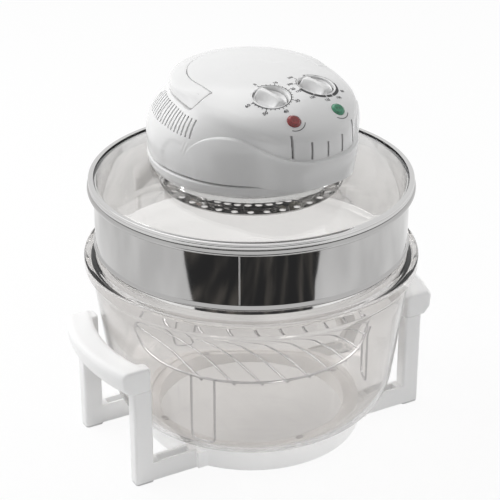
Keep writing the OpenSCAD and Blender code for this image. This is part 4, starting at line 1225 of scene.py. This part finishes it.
def dark_card():
    """A dark card on the floor in front, out of the picture, which only the steel mirrors."""
    outline = [(x, y, CARD_UP) for x, y in CARD_OUTLINE]
    piece = sheet_of("dark_card", outline, [tuple(range(len(outline)))])
    settle(piece, Matrix.Rotation(CAMERA_TURN, 4, "Z"))
    finish = Finish("dark_card")
    streaks = finish.noise(size=70, detail=3.0, where=finish.stretched(1, 0.25, 1)).over(edge=0.56, soft=0.12)
    finish.set(Base_Color=finish.mix(streaks, (0.004, 0.004, 0.005), (0.11, 0.1, 0.09)), Roughness=0.8)
    piece.data.materials.append(finish.material)
    piece.visible_camera = False
    piece.visible_diffuse = False
    piece.visible_shadow = False
    piece.visible_transmission = False


def lamp(name, turn, tilt, far, size, power, aim=0.2, spread=180, mirrored=True):
    """A square lamp that looks at a height on the oven's axis, in degrees and metres."""
    light = bpy.data.lights.new(name, "AREA")
    light.size = size
    light.energy = power
    light.spread = math.radians(spread)
    piece = bpy.data.objects.new(name, light)
    bpy.context.scene.collection.objects.link(piece)
    way = towards(math.radians(turn), math.radians(tilt))
    piece.visible_glossy = mirrored
    piece.location = Vector((0, 0, aim)) + way * far
    piece.rotation_euler = way.to_track_quat("Z", "Y").to_euler()


def world():
    """White to the eye and through glass, less so in what mirrors it, and a weak light on all the rest."""
    sky = bpy.data.worlds.new("studio")
    bpy.context.scene.world = sky
    sky.use_nodes = True
    tree = sky.node_tree
    tree.nodes.clear()

    def node(kind, *inputs):
        made = tree.nodes.new(kind)
        for socket, value in zip(made.inputs, inputs):
            if isinstance(value, bpy.types.NodeSocket):
                tree.links.new(value, socket)
            else:
                socket.default_value = value
        return made

    def math_node(operation, *inputs):
        made = node("ShaderNodeMath", *inputs)
        made.operation = operation
        return made.outputs[0]

    paths = node("ShaderNodeLightPath").outputs
    mirrored = math_node("MULTIPLY", paths["Is Glossy Ray"], SKY_MIRRORED)
    clear = math_node("MAXIMUM", mirrored, paths["Is Transmission Ray"])
    white = math_node("MAXIMUM", paths["Is Camera Ray"], clear)
    lit = node("ShaderNodeBackground", (1, 1, 1, 1), SKY_LIGHT)
    seen = node("ShaderNodeBackground", (1, 1, 1, 1), 1.0)
    both = node("ShaderNodeMixShader", white, lit.outputs[0], seen.outputs[0])
    node("ShaderNodeOutputWorld", both.outputs[0])


floor()
dark_card()
camera()
world()
lamp("key", turn=-138, tilt=38, far=1.8, size=1.2, power=26, mirrored=False)
lamp("top", turn=165, tilt=64, far=1.9, size=1.6, power=7.6)
lamp("fill", turn=85, tilt=22, far=2.0, size=1.2, power=14, mirrored=False)
lamp("low", turn=-5, tilt=8, far=1.5, size=0.3, power=0.11, aim=0, spread=32, mirrored=False)
bpy.context.scene.view_settings.view_transform = "Standard"
